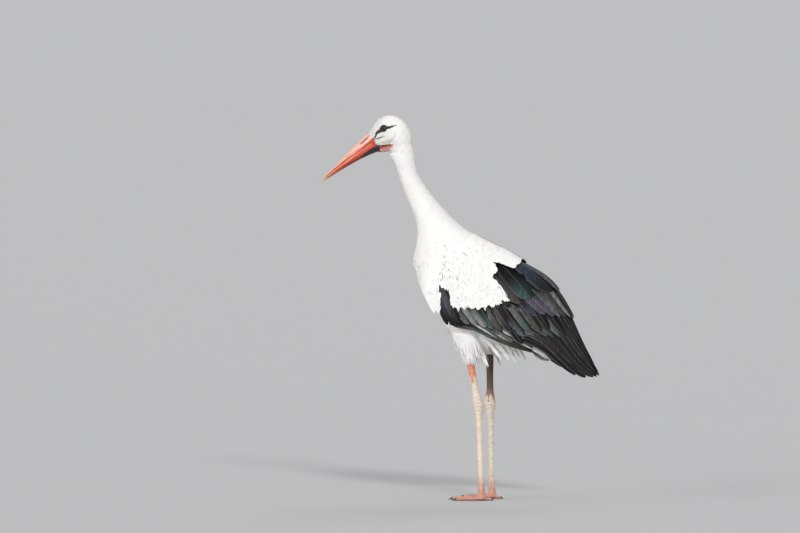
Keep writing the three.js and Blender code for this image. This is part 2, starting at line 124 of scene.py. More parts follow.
class Paint:
    def __init__(self, name, **shader):
        self.material = bpy.data.materials.new(name)
        self.material.use_nodes = True
        self.tree = self.material.node_tree
        self.shader = self.tree.nodes["Principled BSDF"]
        for key, value in shader.items():
            self.shader.inputs[key.replace("_", " ")].default_value = value

    def node(self, kind, sockets=None, settings=None, out=0):
        made = self.tree.nodes.new(kind)
        for key, value in (settings or {}).items():
            setattr(made, key, value)
        for key, value in (sockets or {}).items():
            if isinstance(value, Value):
                self.tree.links.new(value.socket, made.inputs[key])
            else:
                made.inputs[key].default_value = value
        return Value(self, made.outputs[out])

    def put(self, **links):
        for key, value in links.items():
            self.tree.links.new(value.socket, self.shader.inputs[key.replace("_", " ")])

    def maths(self, operation, *values):
        return self.node("ShaderNodeMath", dict(enumerate(values)), {"operation": operation})

    def attribute(self, name, out="Fac"):
        return self.node("ShaderNodeAttribute", settings={"attribute_name": name}, out=out)

    def place(self, **mapping):  # a point's own place, which a mapping can turn and stretch
        where = self.node("ShaderNodeTexCoord", out="Object")
        return self.node("ShaderNodeMapping", {"Vector": where} | mapping) if mapping else where

    def noise(self, scale, detail=3.0, where=None):
        sockets = {"Vector": where or self.place(), "Scale": scale, "Detail": detail}
        return self.node("ShaderNodeTexNoise", sockets, out="Fac")

    def mix(self, share, first, second, how="MIX"):
        settings = {"data_type": "RGBA", "blend_type": how}
        return self.node("ShaderNodeMix", {0: share, 6: first, 7: second}, settings, 2)

    def between(self, value, low, high, start=0.0, end=1.0):
        sockets = {"Value": value, "From Min": low, "From Max": high, "To Min": start, "To Max": end}
        return self.node("ShaderNodeMapRange", sockets)

    def bump(self, height, strength, distance):
        return self.node("ShaderNodeBump", {"Height": height, "Strength": strength, "Distance": distance})

    def tinted(self, shade):  # the piece's own colours, darkened by a shade
        grey = self.node("ShaderNodeCombineColor", {0: shade, 1: shade, 2: shade})
        return self.mix(1.0, self.attribute("tint", "Color"), grey, "MULTIPLY")


plumageLooks = {
    "white_feathers": {"roughness": 0.82, "gloss": 0.22, "sheen": 0.15, "barbs": 8.5, "barbDepth": 0.1,
                       "mottle": 0.04, "streak": 0.03},
    "black_quills": {"roughness": 0.45, "gloss": 0.12, "sheen": 0.0, "barbs": 6.0, "barbDepth": 0.3,
                     "mottle": 0.25, "streak": 0.5},
}


def plumagePaint(name):
    look = plumageLooks[name]
    paint = Paint(name, Roughness=look["roughness"], Sheen_Weight=look["sheen"],
                  Specular_IOR_Level=look["gloss"])
    across, along = paint.attribute("across"), paint.attribute("along")
    barb = along - paint.maths("ABSOLUTE", across) * 0.8  # the same all along one barb
    where = paint.node("ShaderNodeCombineXYZ", {0: barb * 0.45, 1: across * 0.05})
    streak = look["streak"]
    streaks = paint.between(paint.noise(1.0, 4.0, where), 0.32, 0.68, 1 - streak, 1 + streak)
    mottle = paint.between(paint.noise(420.0), 0.3, 0.7, 1 - look["mottle"], 1.0)
    ribs = paint.maths("SINE", barb * look["barbs"])
    paint.put(Base_Color=paint.tinted(mottle * streaks), Normal=paint.bump(ribs, look["barbDepth"], 0.0003))
    return paint.material


def skinPaint():
    skin = Paint("bare_skin", Roughness=0.62)
    wrinkles = skin.noise(900.0, 4.0, skin.place(Scale=(1.0, 1.0, 2.6)))
    skin.put(Base_Color=skin.tinted(skin.between(skin.noise(260.0), 0.35, 0.65, 0.8, 1.0)),
             Normal=skin.bump(wrinkles, 0.5, 0.0004))
    return skin.material


def hornPaint():
    horn = Paint("bill_horn")
    tint = horn.attribute("tint", "Color")
    red = horn.node("ShaderNodeSeparateColor", {0: tint})
    grain = horn.noise(1.0, 5.0, horn.place(Rotation=(0, billSlope, 0), Scale=(28, 420, 420)))
    colour = horn.mix(horn.between(grain, 0.42, 0.68) * red * 0.22, tint, (0.92, 0.58, 0.46, 1))
    colour = horn.mix(horn.between(grain, 0.50, 0.38, 0.0, 0.55) * red, colour, (0.60, 0.10, 0.05, 1))
    dark = horn.between(horn.noise(150.0, 4.0), 0.55, 0.75, 0.0, 0.22)
    horn.put(Base_Color=horn.mix(dark, colour, (0.36, 0.035, 0.012, 1)),
             Roughness=horn.between(grain, 0.3, 0.7, 0.34, 0.55), Normal=horn.bump(grain, 0.35, 0.0005))
    return horn.material


def legPaint():
    leg = Paint("leg_skin")
    leg.put(Base_Color=leg.tinted(leg.between(leg.noise(210.0, 5.0), 0.3, 0.7, 0.78, 1.06)),
            Roughness=leg.between(leg.attribute("chalk"), 0.0, 1.0, 0.5, 0.9),
            Normal=leg.bump(leg.noise(1300.0), 0.35, 0.0003))
    return leg.material


def clawPaint():
    claw = Paint("claw_horn", Roughness=0.4)
    worn = claw.between(claw.noise(330.0), 0.4, 0.7)
    claw.put(Base_Color=claw.mix(worn, (0.03, 0.022, 0.018, 1), (0.12, 0.085, 0.06, 1)),
             Normal=claw.bump(claw.noise(700.0, 2.0), 0.2, 0.0003))
    return claw.material


def lidPaint():
    lid = Paint("lid_skin", Roughness=0.42)
    fold = lid.noise(1500.0)
    worn = lid.between(fold, 0.4, 0.65)
    lid.put(Base_Color=lid.mix(worn, (0.008, 0.008, 0.009, 1), (0.045, 0.04, 0.04, 1)),
            Normal=lid.bump(fold, 0.6, 0.0004))
    return lid.material


def eyePaint():
    ball = Paint("eye_ball", Roughness=0.2, Specular_IOR_Level=0.45)
    radius = ball.attribute("radius")  # how far a point lies from the eye's axis
    flecks = ball.between(ball.noise(1800.0, 2.0), 0.4, 0.65)
    brown = ball.mix(flecks, (0.018, 0.012, 0.009, 1), (0.06, 0.042, 0.034, 1))
    iris = ball.mix(ball.between(radius, eye["iris"] - 0.5, eye["iris"]), brown, (0.006, 0.005, 0.005, 1))
    pupil = ball.between(radius, eye["pupil"] - 0.2, eye["pupil"] + 0.2)
    ball.put(Base_Color=ball.mix(pupil, (0.001, 0.001, 0.001, 1), iris))
    return ball.material


def floorPaint():
    floor = Paint("pale_floor", Roughness=0.9)
    speck = floor.between(floor.noise(3.0), 0.3, 0.7, 0.0, 0.04)
    floor.put(Base_Color=floor.mix(speck, studio["floorColour"], (0.56, 0.56, 0.56, 1)))
    return floor.material


def makeFloor():
    bpy.ops.mesh.primitive_plane_add(size=studio["floorSize"])
    floor = bpy.context.object
    floor.name = "floor"
    floor.data.materials.append(paints["floor"])


# The body's measures, all repeated from the construction.
bill = {"tip": (-430, 758), "slope": 37, "length": 167, "culmen": 18.6, "gular": 10, "breadth": 13.5,
        "tipHeight": 0.9, "tipBreadth": 1.1, "underSlope": 0.115, "mouthGap": 0.25, "hollow": 0.10,
        "groove": 0.5, "flatFace": -0.4}  # the mouth's flat face cuts the round section there
billSlope = math.radians(bill["slope"])
eye = {"x": -252, "z": 891, "out": 21.5, "radius": 6.8, "turn": 0.16, "iris": 5.4, "pupil": 2.6,
       "cornea": 0.3, "lens": 4.6}  # the cornea stands a little proud
trunkRows = [  # front x, front z, back x, back z, half the width, from inside the skull to the vent
    (-236, 856, -198, 872, 15), (-245, 827, -186, 842, 24), (-230, 798, -180, 803, 24),
    (-221, 769, -171, 777, 23.5), (-210, 740, -153, 750, 24.5), (-195, 709, -127, 718, 30),
    (-181, 679, -97, 687, 39), (-174, 645, -63, 656, 49), (-178, 604, -26, 634, 58),
    (-185, 557, 8, 604, 62), (-150, 505, 46, 574, 66), (-116, 455, 76, 543, 65),
    (-98, 408, 97, 512, 63), (-64, 373, 106, 478, 59), (-20, 354, 109, 448, 53),
    (24, 350, 107, 420, 43), (56, 353, 100, 396, 28), (76, 360, 88, 374, 8),
]


def billPoint(behind, above):
    x = bill["tip"][0] + behind * math.cos(billSlope) - above * math.sin(billSlope)
    return x, bill["tip"][1] + behind * math.sin(billSlope) + above * math.cos(billSlope)


def billPlace(points):  # the other way: how far points are behind the bill's tip and above its axis
    x, z = points[..., 0] - bill["tip"][0], points[..., 2] - bill["tip"][1]
    cosine, sine = math.cos(billSlope), math.sin(billSlope)
    return x * cosine + z * sine, z * cosine - x * sine


skullRows = [
    (*billPoint(167, 18.1), *billPoint(167, -28), 13.5), (-297, 893, -272, 833, 17.5),
    (-276, 914.5, -262, 834, 22.5), (-249, 924, -246, 836, 26), (-222, 917.5, -226, 832, 27.5),
    (-202, 900, -209, 833, 23.5), (-191, 877, -199, 842, 13), (-190, 865, -194, 852, 4),
]
legs = {  # the thigh's rows are like the trunk's
    "left": {"y": -40, "knee": -22, "ankle": -1, "foot": 7, "hem": 328,
             "thigh": [(-78, 424, 28, 440, 26), (-70, 388, 14, 396, 25), (-54, 360, 4, 364, 21),
                       (-34, 328, -9, 328, 12.5)]},
    "right": {"y": 40, "knee": -3, "ankle": -2, "foot": 3, "hem": 354,
              "thigh": [(-67.25, 428, 32.75, 444, 26), (-54.5, 398, 23.5, 408, 25),
                        (-33, 378, 23, 384, 20), (-17, 354, 12, 354, 12.5)]},
}
legWidths = [  # height, half depth, half width
    (327.6, 9.2, 8.2), (300, 8.2, 7.5), (262, 8.4, 7.6), (245, 11.6, 9.8), (230, 13.8, 11.4),
    (216, 12.2, 10.4), (202, 8.8, 7.8), (180, 7.3, 6.3), (110, 6.8, 5.8), (45, 7, 6),
    (26, 8.6, 7.6), (9, 9.5, 9),
]
ankleHeight, toeHeight = 230, 9
toes = [("middle", 0, 86, 6.2), ("inner", 34, 66, 5.8), ("outer", -36, 74, 5.8), ("hind", 172, 30, 5)]


def smoothCurve(points):  # a smooth function through points, held level beyond its ends
    xs, ys = np.array(points, float).T
    here = np.arange(len(xs))
    after, before = np.minimum(here + 1, len(xs) - 1), np.maximum(here - 1, 0)
    slopes = (ys[after] - ys[before]) / (xs[after] - xs[before])

    def at(x):
        x = np.clip(x, xs[0], xs[-1])
        i = np.clip(np.searchsorted(xs, x) - 1, 0, len(xs) - 2)
        span = xs[i + 1] - xs[i]
        s = (x - xs[i]) / span
        return ((2 * s**3 - 3 * s**2 + 1) * ys[i] + (s**3 - 2 * s**2 + s) * slopes[i] * span
                + (3 * s**2 - 2 * s**3) * ys[i + 1] + (s**3 - s**2) * slopes[i + 1] * span)
    return at


wingRidge = smoothCurve([(-163, 572), (-143, 605), (-100, 640), (-40, 641), (22, 615), (60, 598), (120, 564),
                         (173, 525), (215, 467), (252, 392), (294, 318)])
wingEdge = smoothCurve([(-163, 556), (-152, 527), (-122, 480), (-96, 442), (-67, 424), (-30, 415), (0, 416),
                        (30, 404), (60, 391), (86, 381), (176, 350), (226, 308), (260, 284), (294, 281)])
wingSpread = smoothCurve([(-163, 34), (-150, 52), (-132, 69), (-108, 79), (-72, 85), (0, 88), (80, 83),
                          (144, 71), (200, 53), (250, 34), (294, 20)])


def sectionAt(rows, u):
    table = np.array(rows, float)
    last = len(table) - 1
    i = np.clip(np.floor(u).astype(int), 0, last - 1)
    s = (u - i)[..., None]
    a, b, c, d = (table[np.clip(i + k, 0, last)] for k in (-1, 0, 1, 2))
    return b + 0.5 * s * (c - a + s * (2 * a - 5 * b + 4 * c - d + s * (3 * (b - c) + d - a)))


def tubePoint(rows, u, angle, grow=0.0, y=0.0):
    fx, fz, bx, bz, half = np.moveaxis(sectionAt(rows, np.asarray(u, float)), -1, 0)
    mx, mz = (fx + bx) / 2, (fz + bz) / 2
    rx, rz = fx - mx, fz - mz
    reach = np.cos(angle) * (1 + grow / np.hypot(rx, rz))
    return np.stack([mx + rx * reach, y + (half + grow) * np.sin(angle), mz + rz * reach], -1)


def thighSurface(leg):
    return lambda u, angle, grow=0.0: tubePoint(leg["thigh"], u, angle, grow, leg["y"])


def wingSurface(side):  # side is -1 on the left
    def at(x, share, grow=0.0):
        angle = share * math.pi / 2
        drop = (wingRidge(x) - wingEdge(x)) * (1 - np.cos(angle))
        return np.stack([x + 0.0 * share, side * (wingSpread(x) + grow) * np.sin(angle),
                         wingRidge(x) - drop + grow * np.cos(angle)], -1)
    return at


def unit(vectors):
    return vectors / np.maximum(np.linalg.norm(vectors, axis=-1, keepdims=True), 1e-9)


def surfaceFrame(surface, u, v):  # place, outward normal and the two directions along a surface
    step = 2e-3
    point = surface(u, v)
    alongU = (surface(u + step, v) - surface(u - step, v)) / (2 * step)
    alongV = (surface(u, v + step) - surface(u, v - step)) / (2 * step)
    normal = unit(np.cross(alongV, alongU))
    outward = np.sum(normal * (surface(u, v, 1.0) - point), -1, keepdims=True)
    return point, normal * np.where(outward < 0, -1.0, 1.0), alongU, alongV


def solveAlong(alongU, alongV, want):  # how far u and v go for a step along the surface
    e, f, g = (np.sum(a * b, -1) for a, b in ((alongU, alongU), (alongU, alongV), (alongV, alongV)))
    a, b = np.sum(want * alongU, -1), np.sum(want * alongV, -1)
    size = e * g - f * f
    return (a * g - b * f) / size, (b * e - a * f) / size


def stepAlong(surface, u, v, turn, length):  # the same for a lie turned from u towards v
    _, _, alongU, alongV = surfaceFrame(surface, u, v)
    first = unit(alongU)
    second = unit(alongV - np.sum(alongV * first, -1, keepdims=True) * first)
    want = length[:, None] * (np.cos(turn)[:, None] * first + np.sin(turn)[:, None] * second)
    return solveAlong(alongU, alongV, want)


def blend(value, low, high):  # 0 below low, 1 above high, smooth between
    s = np.clip((value - low) / (high - low), 0, 1)
    return s * s * (3 - 2 * s)


def bell(value, middle, width):  # 1 at the middle and soon 0 beyond the width
    return np.exp(-(((value - middle) / width) ** 2))


def partWay(pair, share):
    return pair[0] + (pair[1] - pair[0]) * share


def draw(pair, count):
    return chance.uniform(pair[0], pair[1], count)


def circle(count):  # angles all round
    return np.linspace(0, 2 * math.pi, count, endpoint=False)


# Feather forms: stations are (share of the length, share of the width), columns run across the vane.
forms = {
    "hair": {"stations": [(0, 0.6), (0.5, 1), (1, 0.12)], "columns": [-1, 0, 1]},
    "lance": {"stations": [(0, 0.5), (0.35, 1), (0.72, 0.8), (1, 0.08)], "columns": [-1, 0, 1]},
    "contour": {"stations": [(0, 0.4), (0.3, 0.85), (0.62, 1), (0.84, 0.86), (1, 0.35)],
                "columns": [-1, -0.42, 0.42, 1]},
    "covert": {"stations": [(0, 0.4), (0.3, 0.86), (0.6, 1), (0.85, 0.8), (1, 0.22)],
               "columns": [-1, -0.42, 0.42, 1]},
    "quill": {"stations": [(0, 0.35), (0.08, 0.6), (0.18, 0.82), (0.28, 0.93), (0.38, 0.98), (0.46, 1),
                           (0.54, 1), (0.61, 1), (0.67, 0.99), (0.73, 0.97), (0.79, 0.94), (0.84, 0.88),
                           (0.885, 0.8), (0.92, 0.69), (0.95, 0.56), (0.975, 0.41), (0.992, 0.24), (1, 0.1)],
              "columns": [-1, -0.72, -0.4, -0.09, 0, 0.09, 0.4, 0.72, 1]},
}


def formOf(name):  # the shares of the length and of the width at each station, and the columns
    s, wide = np.array(forms[name]["stations"]).T
    return s, wide, np.array(forms[name]["columns"], float)


def lensTriangles(stations, columns):  # a closed vane whose two faces share their rims
    top = np.arange(stations * columns).reshape(stations, columns)
    low = top.copy()
    low[:, 1:-1] = stations * columns + np.arange(stations * (columns - 2)).reshape(stations, columns - 2)
    found = []
    for i in range(stations - 1):
        for j in range(columns - 1):
            a, b, c, d = top[i, j], top[i + 1, j], top[i + 1, j + 1], top[i, j + 1]
            found += [(a, b, c), (a, c, d)]
            a, b, c, d = low[i, j], low[i + 1, j], low[i + 1, j + 1], low[i, j + 1]
            found += [(a, c, b), (a, d, c)]
    for j in range(columns - 1):
        found += [(top[0, j], top[0, j + 1], low[0, j + 1]), (top[0, j], low[0, j + 1], low[0, j])]
        a, b, c, d = top[-1, j], top[-1, j + 1], low[-1, j + 1], low[-1, j]
        found += [(a, c, b), (a, d, c)]
    return np.array([t for t in found if len(set(t)) == 3])


def splitRims(reach, share):  # how far the points of vanes move in, at the rims and not near the root
    if not share:
        return np.zeros(reach.shape)
    split = chance.random(reach.shape) < share
    split[:, :, 1:-1] = False
    split[:, :3] = False
    return np.where(split, -0.3 * reach, 0)


def both(top, low):  # the upper faces of vanes, and the lower ones without the rims that they share
    halves = top, low[:, :, 1:-1]
    return np.concatenate([half.reshape(len(half), -1, *half.shape[3:]) for half in halves], 1)


vaneStyle = {
    "tilt": 0.0, "camber": 0.0,  # how a vane leans to one side and bends down to both
    "thick": 0.4, "shaft": 0.0,  # mm, and how much thicker its shaft is
    "ragged": 0.0, "notch": 0.0,  # how uneven its tip is, and the share of its rim that is split
    "sink": 0.0, "patch": 0.003,  # how far its tip dips, and the width of its patch of the picture
    "relief": 1.0, "under": -1.0,  # how much its own form is shaded, and the way its lower face is shaded
}


class Coat:  # collects many vanes and makes one mesh of them
    def __init__(self):
        self.parts = []
        self.count = 0  # points so far

    def lay(self, surface, u, v, du, dv, half, form, lift, tint, patchAt, low=-9.0, **shape):
        # vanes that run over a surface from u, v for du, dv, and follow its round from side to side
        s, wide, c = formOf(form)
        uu, vv = u[:, None] + du[:, None] * s, v[:, None] + dv[:, None] * s
        _, normal, alongU, alongV = surfaceFrame(surface, uu, vv)
        tangent = unit(du[:, None, None] * alongU + dv[:, None, None] * alongV)
        across = unit(np.cross(normal, tangent))
        shiftU, shiftV = solveAlong(alongU, alongV, across)
        reach = np.broadcast_to(half, len(u))[:, None, None] * wide[:, None] * c
        wrapU = uu[..., None] + shiftU[..., None] * reach
        wrapV = np.maximum(vv[..., None] + shiftV[..., None] * reach, low)
        point, normal, _, _ = surfaceFrame(surface, wrapU, wrapV)
        self.vanes(point, normal, tangent, reach, form, lift, tint, patchAt, **shape)

    def layFlat(self, centre, normal, half, form, lift, tint, patchAt, **shape):
        # small vanes over points that follow the skin
        _, wide, c = formOf(form)
        tangent = unit(np.gradient(centre, axis=1))
        across = unit(np.cross(normal, tangent))
        reach = np.broadcast_to(half, len(centre))[:, None, None] * wide[:, None] * c
        point = centre[:, :, None] + across[:, :, None] * reach[..., None]
        normal = np.broadcast_to(normal[:, :, None], point.shape)
        self.vanes(point, normal, tangent, reach, form, lift, tint, patchAt, **shape)

    def vanes(self, point, normal, tangent, reach, form, lift, tint, patchAt, **shape):
        style = vaneStyle | shape
        s, _, c = formOf(form)
        count, rows, columns = reach.shape
        root, tip = (np.broadcast_to(x, count)[:, None] for x in lift)
        sink = np.broadcast_to(style["sink"], count)[:, None]
        tilt = np.broadcast_to(style["tilt"], count)[:, None, None]
        height = (root + (tip - root) * (1 - (1 - s) ** 2) - sink * s**5)[..., None]
        height = height + tilt * reach - style["camber"] * reach**2
        across = unit(np.cross(normal, tangent[:, :, None]))
        slide = splitRims(reach, style["notch"])
        middle = point[:, :, columns // 2]
        length = np.linalg.norm(middle[:, -1] - middle[:, 0], axis=-1)
        fray = chance.uniform(-1, 0.35, (count, columns)) * style["ragged"]
        slip = fray[:, None, :] * (s**4)[None, :, None] * length[:, None, None]
        thick = style["thick"] * ((1 - np.abs(c)) ** 0.7 + style["shaft"] * (np.abs(c) < 0.05))
        thick = thick * (1 - 0.5 * s)[:, None]
        base = point + across * slide[..., None] + tangent[:, :, None] * slip[..., None]
        upper = base + normal * (height + thick / 2)[..., None]
        under = base + normal * (height - thick / 2)[..., None]
        points = both(upper, under)
        lens = lensTriangles(rows, columns)
        faces = (lens[None] + (np.arange(count) * points.shape[1])[:, None, None]).reshape(-1, 3)
        share = np.broadcast_to(s[None, :, None], reach.shape)
        side = np.broadcast_to(c[None, None], reach.shape)
        share, side = both(share, share), both(side, side)
        colour = tint(share, side) if callable(tint) else np.broadcast_to(tint[:, None], (*share.shape, 3))
        right, up = style["patch"] * side / 2, style["patch"] * (share - 0.5)
        patch = np.stack([patchAt[0][:, None] + right, patchAt[1][:, None] + up], -1)
        # the shading follows the coat as a whole, with only part of each vane's own relief
        rise = ((tip - root) * 2 * (1 - s) - 5 * sink * s**4) / np.maximum(length, 1)[:, None]
        lean = across * (tilt - 2 * style["camber"] * reach)[..., None]
        facing = unit(normal - style["relief"] * (lean + (tangent * rise[..., None])[:, :, None]))
        facing = both(facing, facing)
        sign = np.ones(len(lens))
        cells = (rows - 1) * (columns - 1)
        sign[:4 * cells].reshape(cells, 4)[:, 2:] = style["under"]
        along = share * length[:, None] + (np.arange(count) % 97 * 37.7)[:, None]  # none is streaked alike
        self.parts.append((points.reshape(-1, 3), faces + self.count, colour.reshape(-1, 3),
                           both(reach, reach).ravel(), along.ravel(), patch.reshape(-1, 2),
                           facing.reshape(-1, 3), np.tile(sign, count)))
        self.count += points.shape[0] * points.shape[1]

    def make(self, name, paint, slot, *nodes):
        joined = (np.concatenate(part) for part in zip(*self.parts))
        points, faces, tint, across, along, patch, facing, sign = joined
        piece = meshPiece(name, toFrame(points), faces)
        setColour(piece.data, tint)
        setAttribute(piece.data, "across", across)
        setAttribute(piece.data, "along", along)
        if sign.min() > 0:
            piece.data.normals_split_custom_set_from_vertices(facing.tolist())
        else:
            corners = facing[faces] * sign[:, None, None]
            piece.data.normals_split_custom_set(corners.reshape(-1, 3).tolist())
        layer = piece.data.uv_layers.new(name="OFBake")
        layer.uv.foreach_set("vector", patch[faces.ravel()].astype(np.float32).ravel())
        finishPiece(piece, paint, slot, *nodes)
        print("  ", name, len(faces), "triangles")


def meshPiece(name, points, triangles):
    mesh = bpy.data.meshes.new(name)
    mesh.vertices.add(len(points))
    mesh.vertices.foreach_set("co", np.asarray(points, np.float32).ravel())
    mesh.loops.add(triangles.size)
    mesh.loops.foreach_set("vertex_index", triangles.astype(np.int32).ravel())
    mesh.polygons.add(len(triangles))
    mesh.polygons.foreach_set("loop_start", np.arange(0, triangles.size, 3, dtype=np.int32))
    mesh.update(calc_edges=True)
    mesh.validate()
    mesh.shade_smooth()
    piece = bpy.data.objects.new(name, mesh)
    bpy.context.scene.collection.objects.link(piece)
    return piece


def setColour(mesh, tint):
    opaque = np.hstack([tint, np.ones((len(tint), 1))]).astype(np.float32)
    attribute = mesh.color_attributes.new(name="tint", type="FLOAT_COLOR", domain="POINT")
    attribute.data.foreach_set("color", opaque.ravel())


def setAttribute(mesh, name, values):
    mesh.attributes.new(name, "FLOAT", "POINT").data.foreach_set("value", values.astype(np.float32))


def finishPiece(piece, paint, slot, *nodes):
    piece.data.materials.clear()
    piece.data.materials.append(paints[paint])
    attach(piece, "root")
    if nodes:
        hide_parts(*nodes)


def onlySelect(*pieces):
    bpy.ops.object.select_all(action="DESELECT")
    for piece in pieces:
        piece.select_set(True)
    bpy.context.view_layer.objects.active = pieces[0]


def applyModifier(piece, kind, **settings):
    onlySelect(piece)
    bpy.ops.object.modifier_add(type=kind)
    modifier = piece.modifiers[-1]
    for key, value in settings.items():
        setattr(modifier, key, value)
    bpy.ops.object.modifier_apply(modifier=modifier.name)


def joinPieces(name, pieces):
    onlySelect(*pieces)
    bpy.ops.object.join()
    pieces[0].name = pieces[0].data.name = name
    return pieces[0]


def readVectors(items, key):  # one vector from each of a mesh's vertices or faces
    values = np.empty(len(items) * 3, np.float32)
    items.foreach_get(key, values)
    return values.reshape(-1, 3).astype(float)


def birdPoints(piece):  # in the bird's own millimetres
    return fromFrame(readVectors(piece.data.vertices, "co"))


def setPoints(mesh, points):
    mesh.vertices.foreach_set("co", points.astype(np.float32).ravel())
    mesh.update()


def newPrimitive(name):  # the one just added, its place, turn and size made its mesh's own
    piece = bpy.context.object
    piece.name = piece.data.name = name
    bpy.ops.object.transform_apply(location=True, rotation=True, scale=True)
    bpy.ops.object.shade_smooth()
    return piece


def tube(name, rings):  # a closed tube over rings of points, its ends closed to their middles
    count, edges = rings.shape[:2]
    place = np.arange(count * edges).reshape(count, edges)
    after = np.roll(place, -1, 1)
    a, b, c, d = place[:-1], after[:-1], after[1:], place[1:]
    first, last = np.full(edges, count * edges), np.full(edges, count * edges + 1)
    walls = [np.stack(corners, -1).reshape(-1, 3) for corners in ((a, b, c), (a, c, d))]
    lids = [np.stack(corners, -1) for corners in ((first, after[0], place[0]), (last, place[-1], after[-1]))]
    points = np.concatenate([rings.reshape(-1, 3), rings[0].mean(0)[None], rings[-1].mean(0)[None]])
    piece = meshPiece(name, toFrame(points), np.concatenate(walls + lids))
    onlySelect(piece)
    bpy.ops.object.mode_set(mode="EDIT")
    bpy.ops.mesh.select_all(action="SELECT")
    bpy.ops.mesh.normals_make_consistent(inside=False)
    bpy.ops.object.mode_set(mode="OBJECT")
    return piece


# Markings, with painted shade and painted highlights among them. Colours are linear.
colours = {
    "white": (0.90, 0.892, 0.872), "cream": (0.84, 0.77, 0.64), "down": (0.80, 0.79, 0.75),
    "rearGrey": (0.62, 0.58, 0.53), "underLobeShade": (0.50, 0.44, 0.30), "black": (0.012, 0.012, 0.014),
    "crease": (0.07, 0.067, 0.062), "loreSpot": (0.07, 0.026, 0.020), "gape": (0.62, 0.07, 0.03),
    "pink": (0.85, 0.50, 0.41), "gular": (0.02, 0.016, 0.018), "gularShine": (0.11, 0.09, 0.09),
}
headStrokes = {  # x, z and half the width along each mark, seen from the side
    "lore": [(-257, 889, 5.2), (-262, 886, 5.0), (-268, 883, 4.6), (-273, 880, 3.4), (-276, 873, 2.7),
             (-280, 866, 1.8)],
    "streak": [(-247, 892, 4.2), (-240, 894, 3.2), (-233, 897, 1.9), (-228, 899, 0.9), (-222, 901.5, 0.2)],
    "crease": [(-277, 864.5, 1.0), (-270, 867, 1.5), (-262, 870, 1.3), (-254, 873, 0.6)],
    "lobe": [(-270, 858, 7.5), (-257, 857, 9), (-244, 859, 8), (-233, 864, 5)],
}
loreSpot = [(-263, 886, 3.0), (-267, 883.5, 2.4)]
bareStrokes = {  # behind the bill's tip, above its axis and half the width
    "gular": [(126, -16.5, 0.8), (138, -18.5, 3), (152, -22, 6), (166, -25.5, 8), (177, -28, 5)],
    "gularShine": [(144, -23, 1.0), (156, -27.5, 2.6), (168, -31, 2.0)],
    "gape": [(180, -27, 3.5), (188, -32, 5.5), (198, -37.5, 5), (208, -41.5, 3), (216, -44, 1.5)],
    "throat": [(180, -35, 3.6), (192, -40.5, 3.8), (204, -45, 3), (213, -47.5, 1.2)],
    "lobeLine": [(179, -19, 1.3), (184, -25.5, 2.2), (192, -31, 1.8), (203, -36.5, 1.3), (212, -40, 0.6)],
    "lobeShade": [(194, -23, 1.5), (206, -28, 3.5), (218, -32, 4), (230, -31, 2), (240, -26, 0.5)],
}
mouthLine = smoothCurve([(0, 0), (20, 1.0), (53, 2.2), (88, 0.4), (126, -2.4), (150, -3.6), (182, -5)])
featherFront = smoothCurve([  # where the bill ends and the feathers start
    (-60, 196), (-30, 190), (-24, 184.5), (-16, 181), (-8, 184.5), (-3, 186), (6, 179.5), (14, 176),
    (19, 173.5), (26, 171)])
headEnds = {"lowest": (822, 828), "rearmost": (250, 262)}  # its marks fade out over these
strokeEdges = {"lobeShade": 3.5, "others": 0.6}  # mm over which a mark fades


def strokeDepth(first, second, line):  # how deep points lie inside a stroke, less than 0 outside it
    best = np.full(first.shape, -1e3)
    for (x0, z0, w0), (x1, z1, w1) in zip(line, line[1:]):
        dx, dz = x1 - x0, z1 - z0
        s = np.clip(((first - x0) * dx + (second - z0) * dz) / (dx * dx + dz * dz), 0, 1)
        gap = np.hypot(first - x0 - s * dx, second - z0 - s * dz)
        best = np.maximum(best, partWay((w0, w1), s) - gap)
    return best


def headMasks(points):
    behind, above = billPlace(points)
    flank = blend(np.abs(points[..., 1]), 6, 10)
    onHead = blend(points[..., 2], *headEnds["lowest"]) * (1 - blend(behind, *headEnds["rearmost"]))
    masks = {}
    for key, line in headStrokes.items():
        masks[key] = blend(strokeDepth(points[..., 0], points[..., 2], line), -0.5, 0.5) * flank
    for key, line in bareStrokes.items():
        soft = strokeEdges.get(key, strokeEdges["others"])
        masks[key] = blend(strokeDepth(behind, above, line), -soft, soft) * onHead
    masks["front"] = (1 - blend(behind - featherFront(above), -1.5, 0.5)) * onHead
    bare = [masks["gular"], masks["gape"], masks["front"], masks["throat"] * 0.9]
    masks["bare"] = np.maximum.reduce(bare)
    return masks


def mixColour(base, colour, share):
    return base + (np.asarray(colour) - base) * share[..., None]


def layered(base, layers):  # each colour lies over the ones before it
    for colour, share in layers:
        base = mixColour(base, colour, share)
    return base


def plain(colour, points):
    return np.broadcast_to(colour, points.shape)


# The bill is painted lit above and shaded below: the upper mandible's pale salmon is its red as lit, and the
# lower mandible's deeper red is partly painted shade.
billHues = {
    "horn": (0.84, 0.35, 0.235), "ridgeHighlight": (0.90, 0.64, 0.44), "flakesAndHighlight": (0.93, 0.62, 0.52),
    "root": (0.66, 0.075, 0.035), "grooveShade": (0.46, 0.12, 0.07), "streak": (0.95, 0.76, 0.66),
    "nostril": (0.60, 0.20, 0.15), "mouthShade": (0.30, 0.07, 0.045), "lower": (0.60, 0.052, 0.026),
    "lipHighlight": (0.60, 0.25, 0.13), "redLipHighlight": (0.86, 0.27, 0.14), "rim": (0.20, 0.024, 0.010),
    "tip": (0.72, 0.60, 0.42), "slitShade": (0.10, 0.012, 0.012), "shine": (0.10, 0.085, 0.085),
}


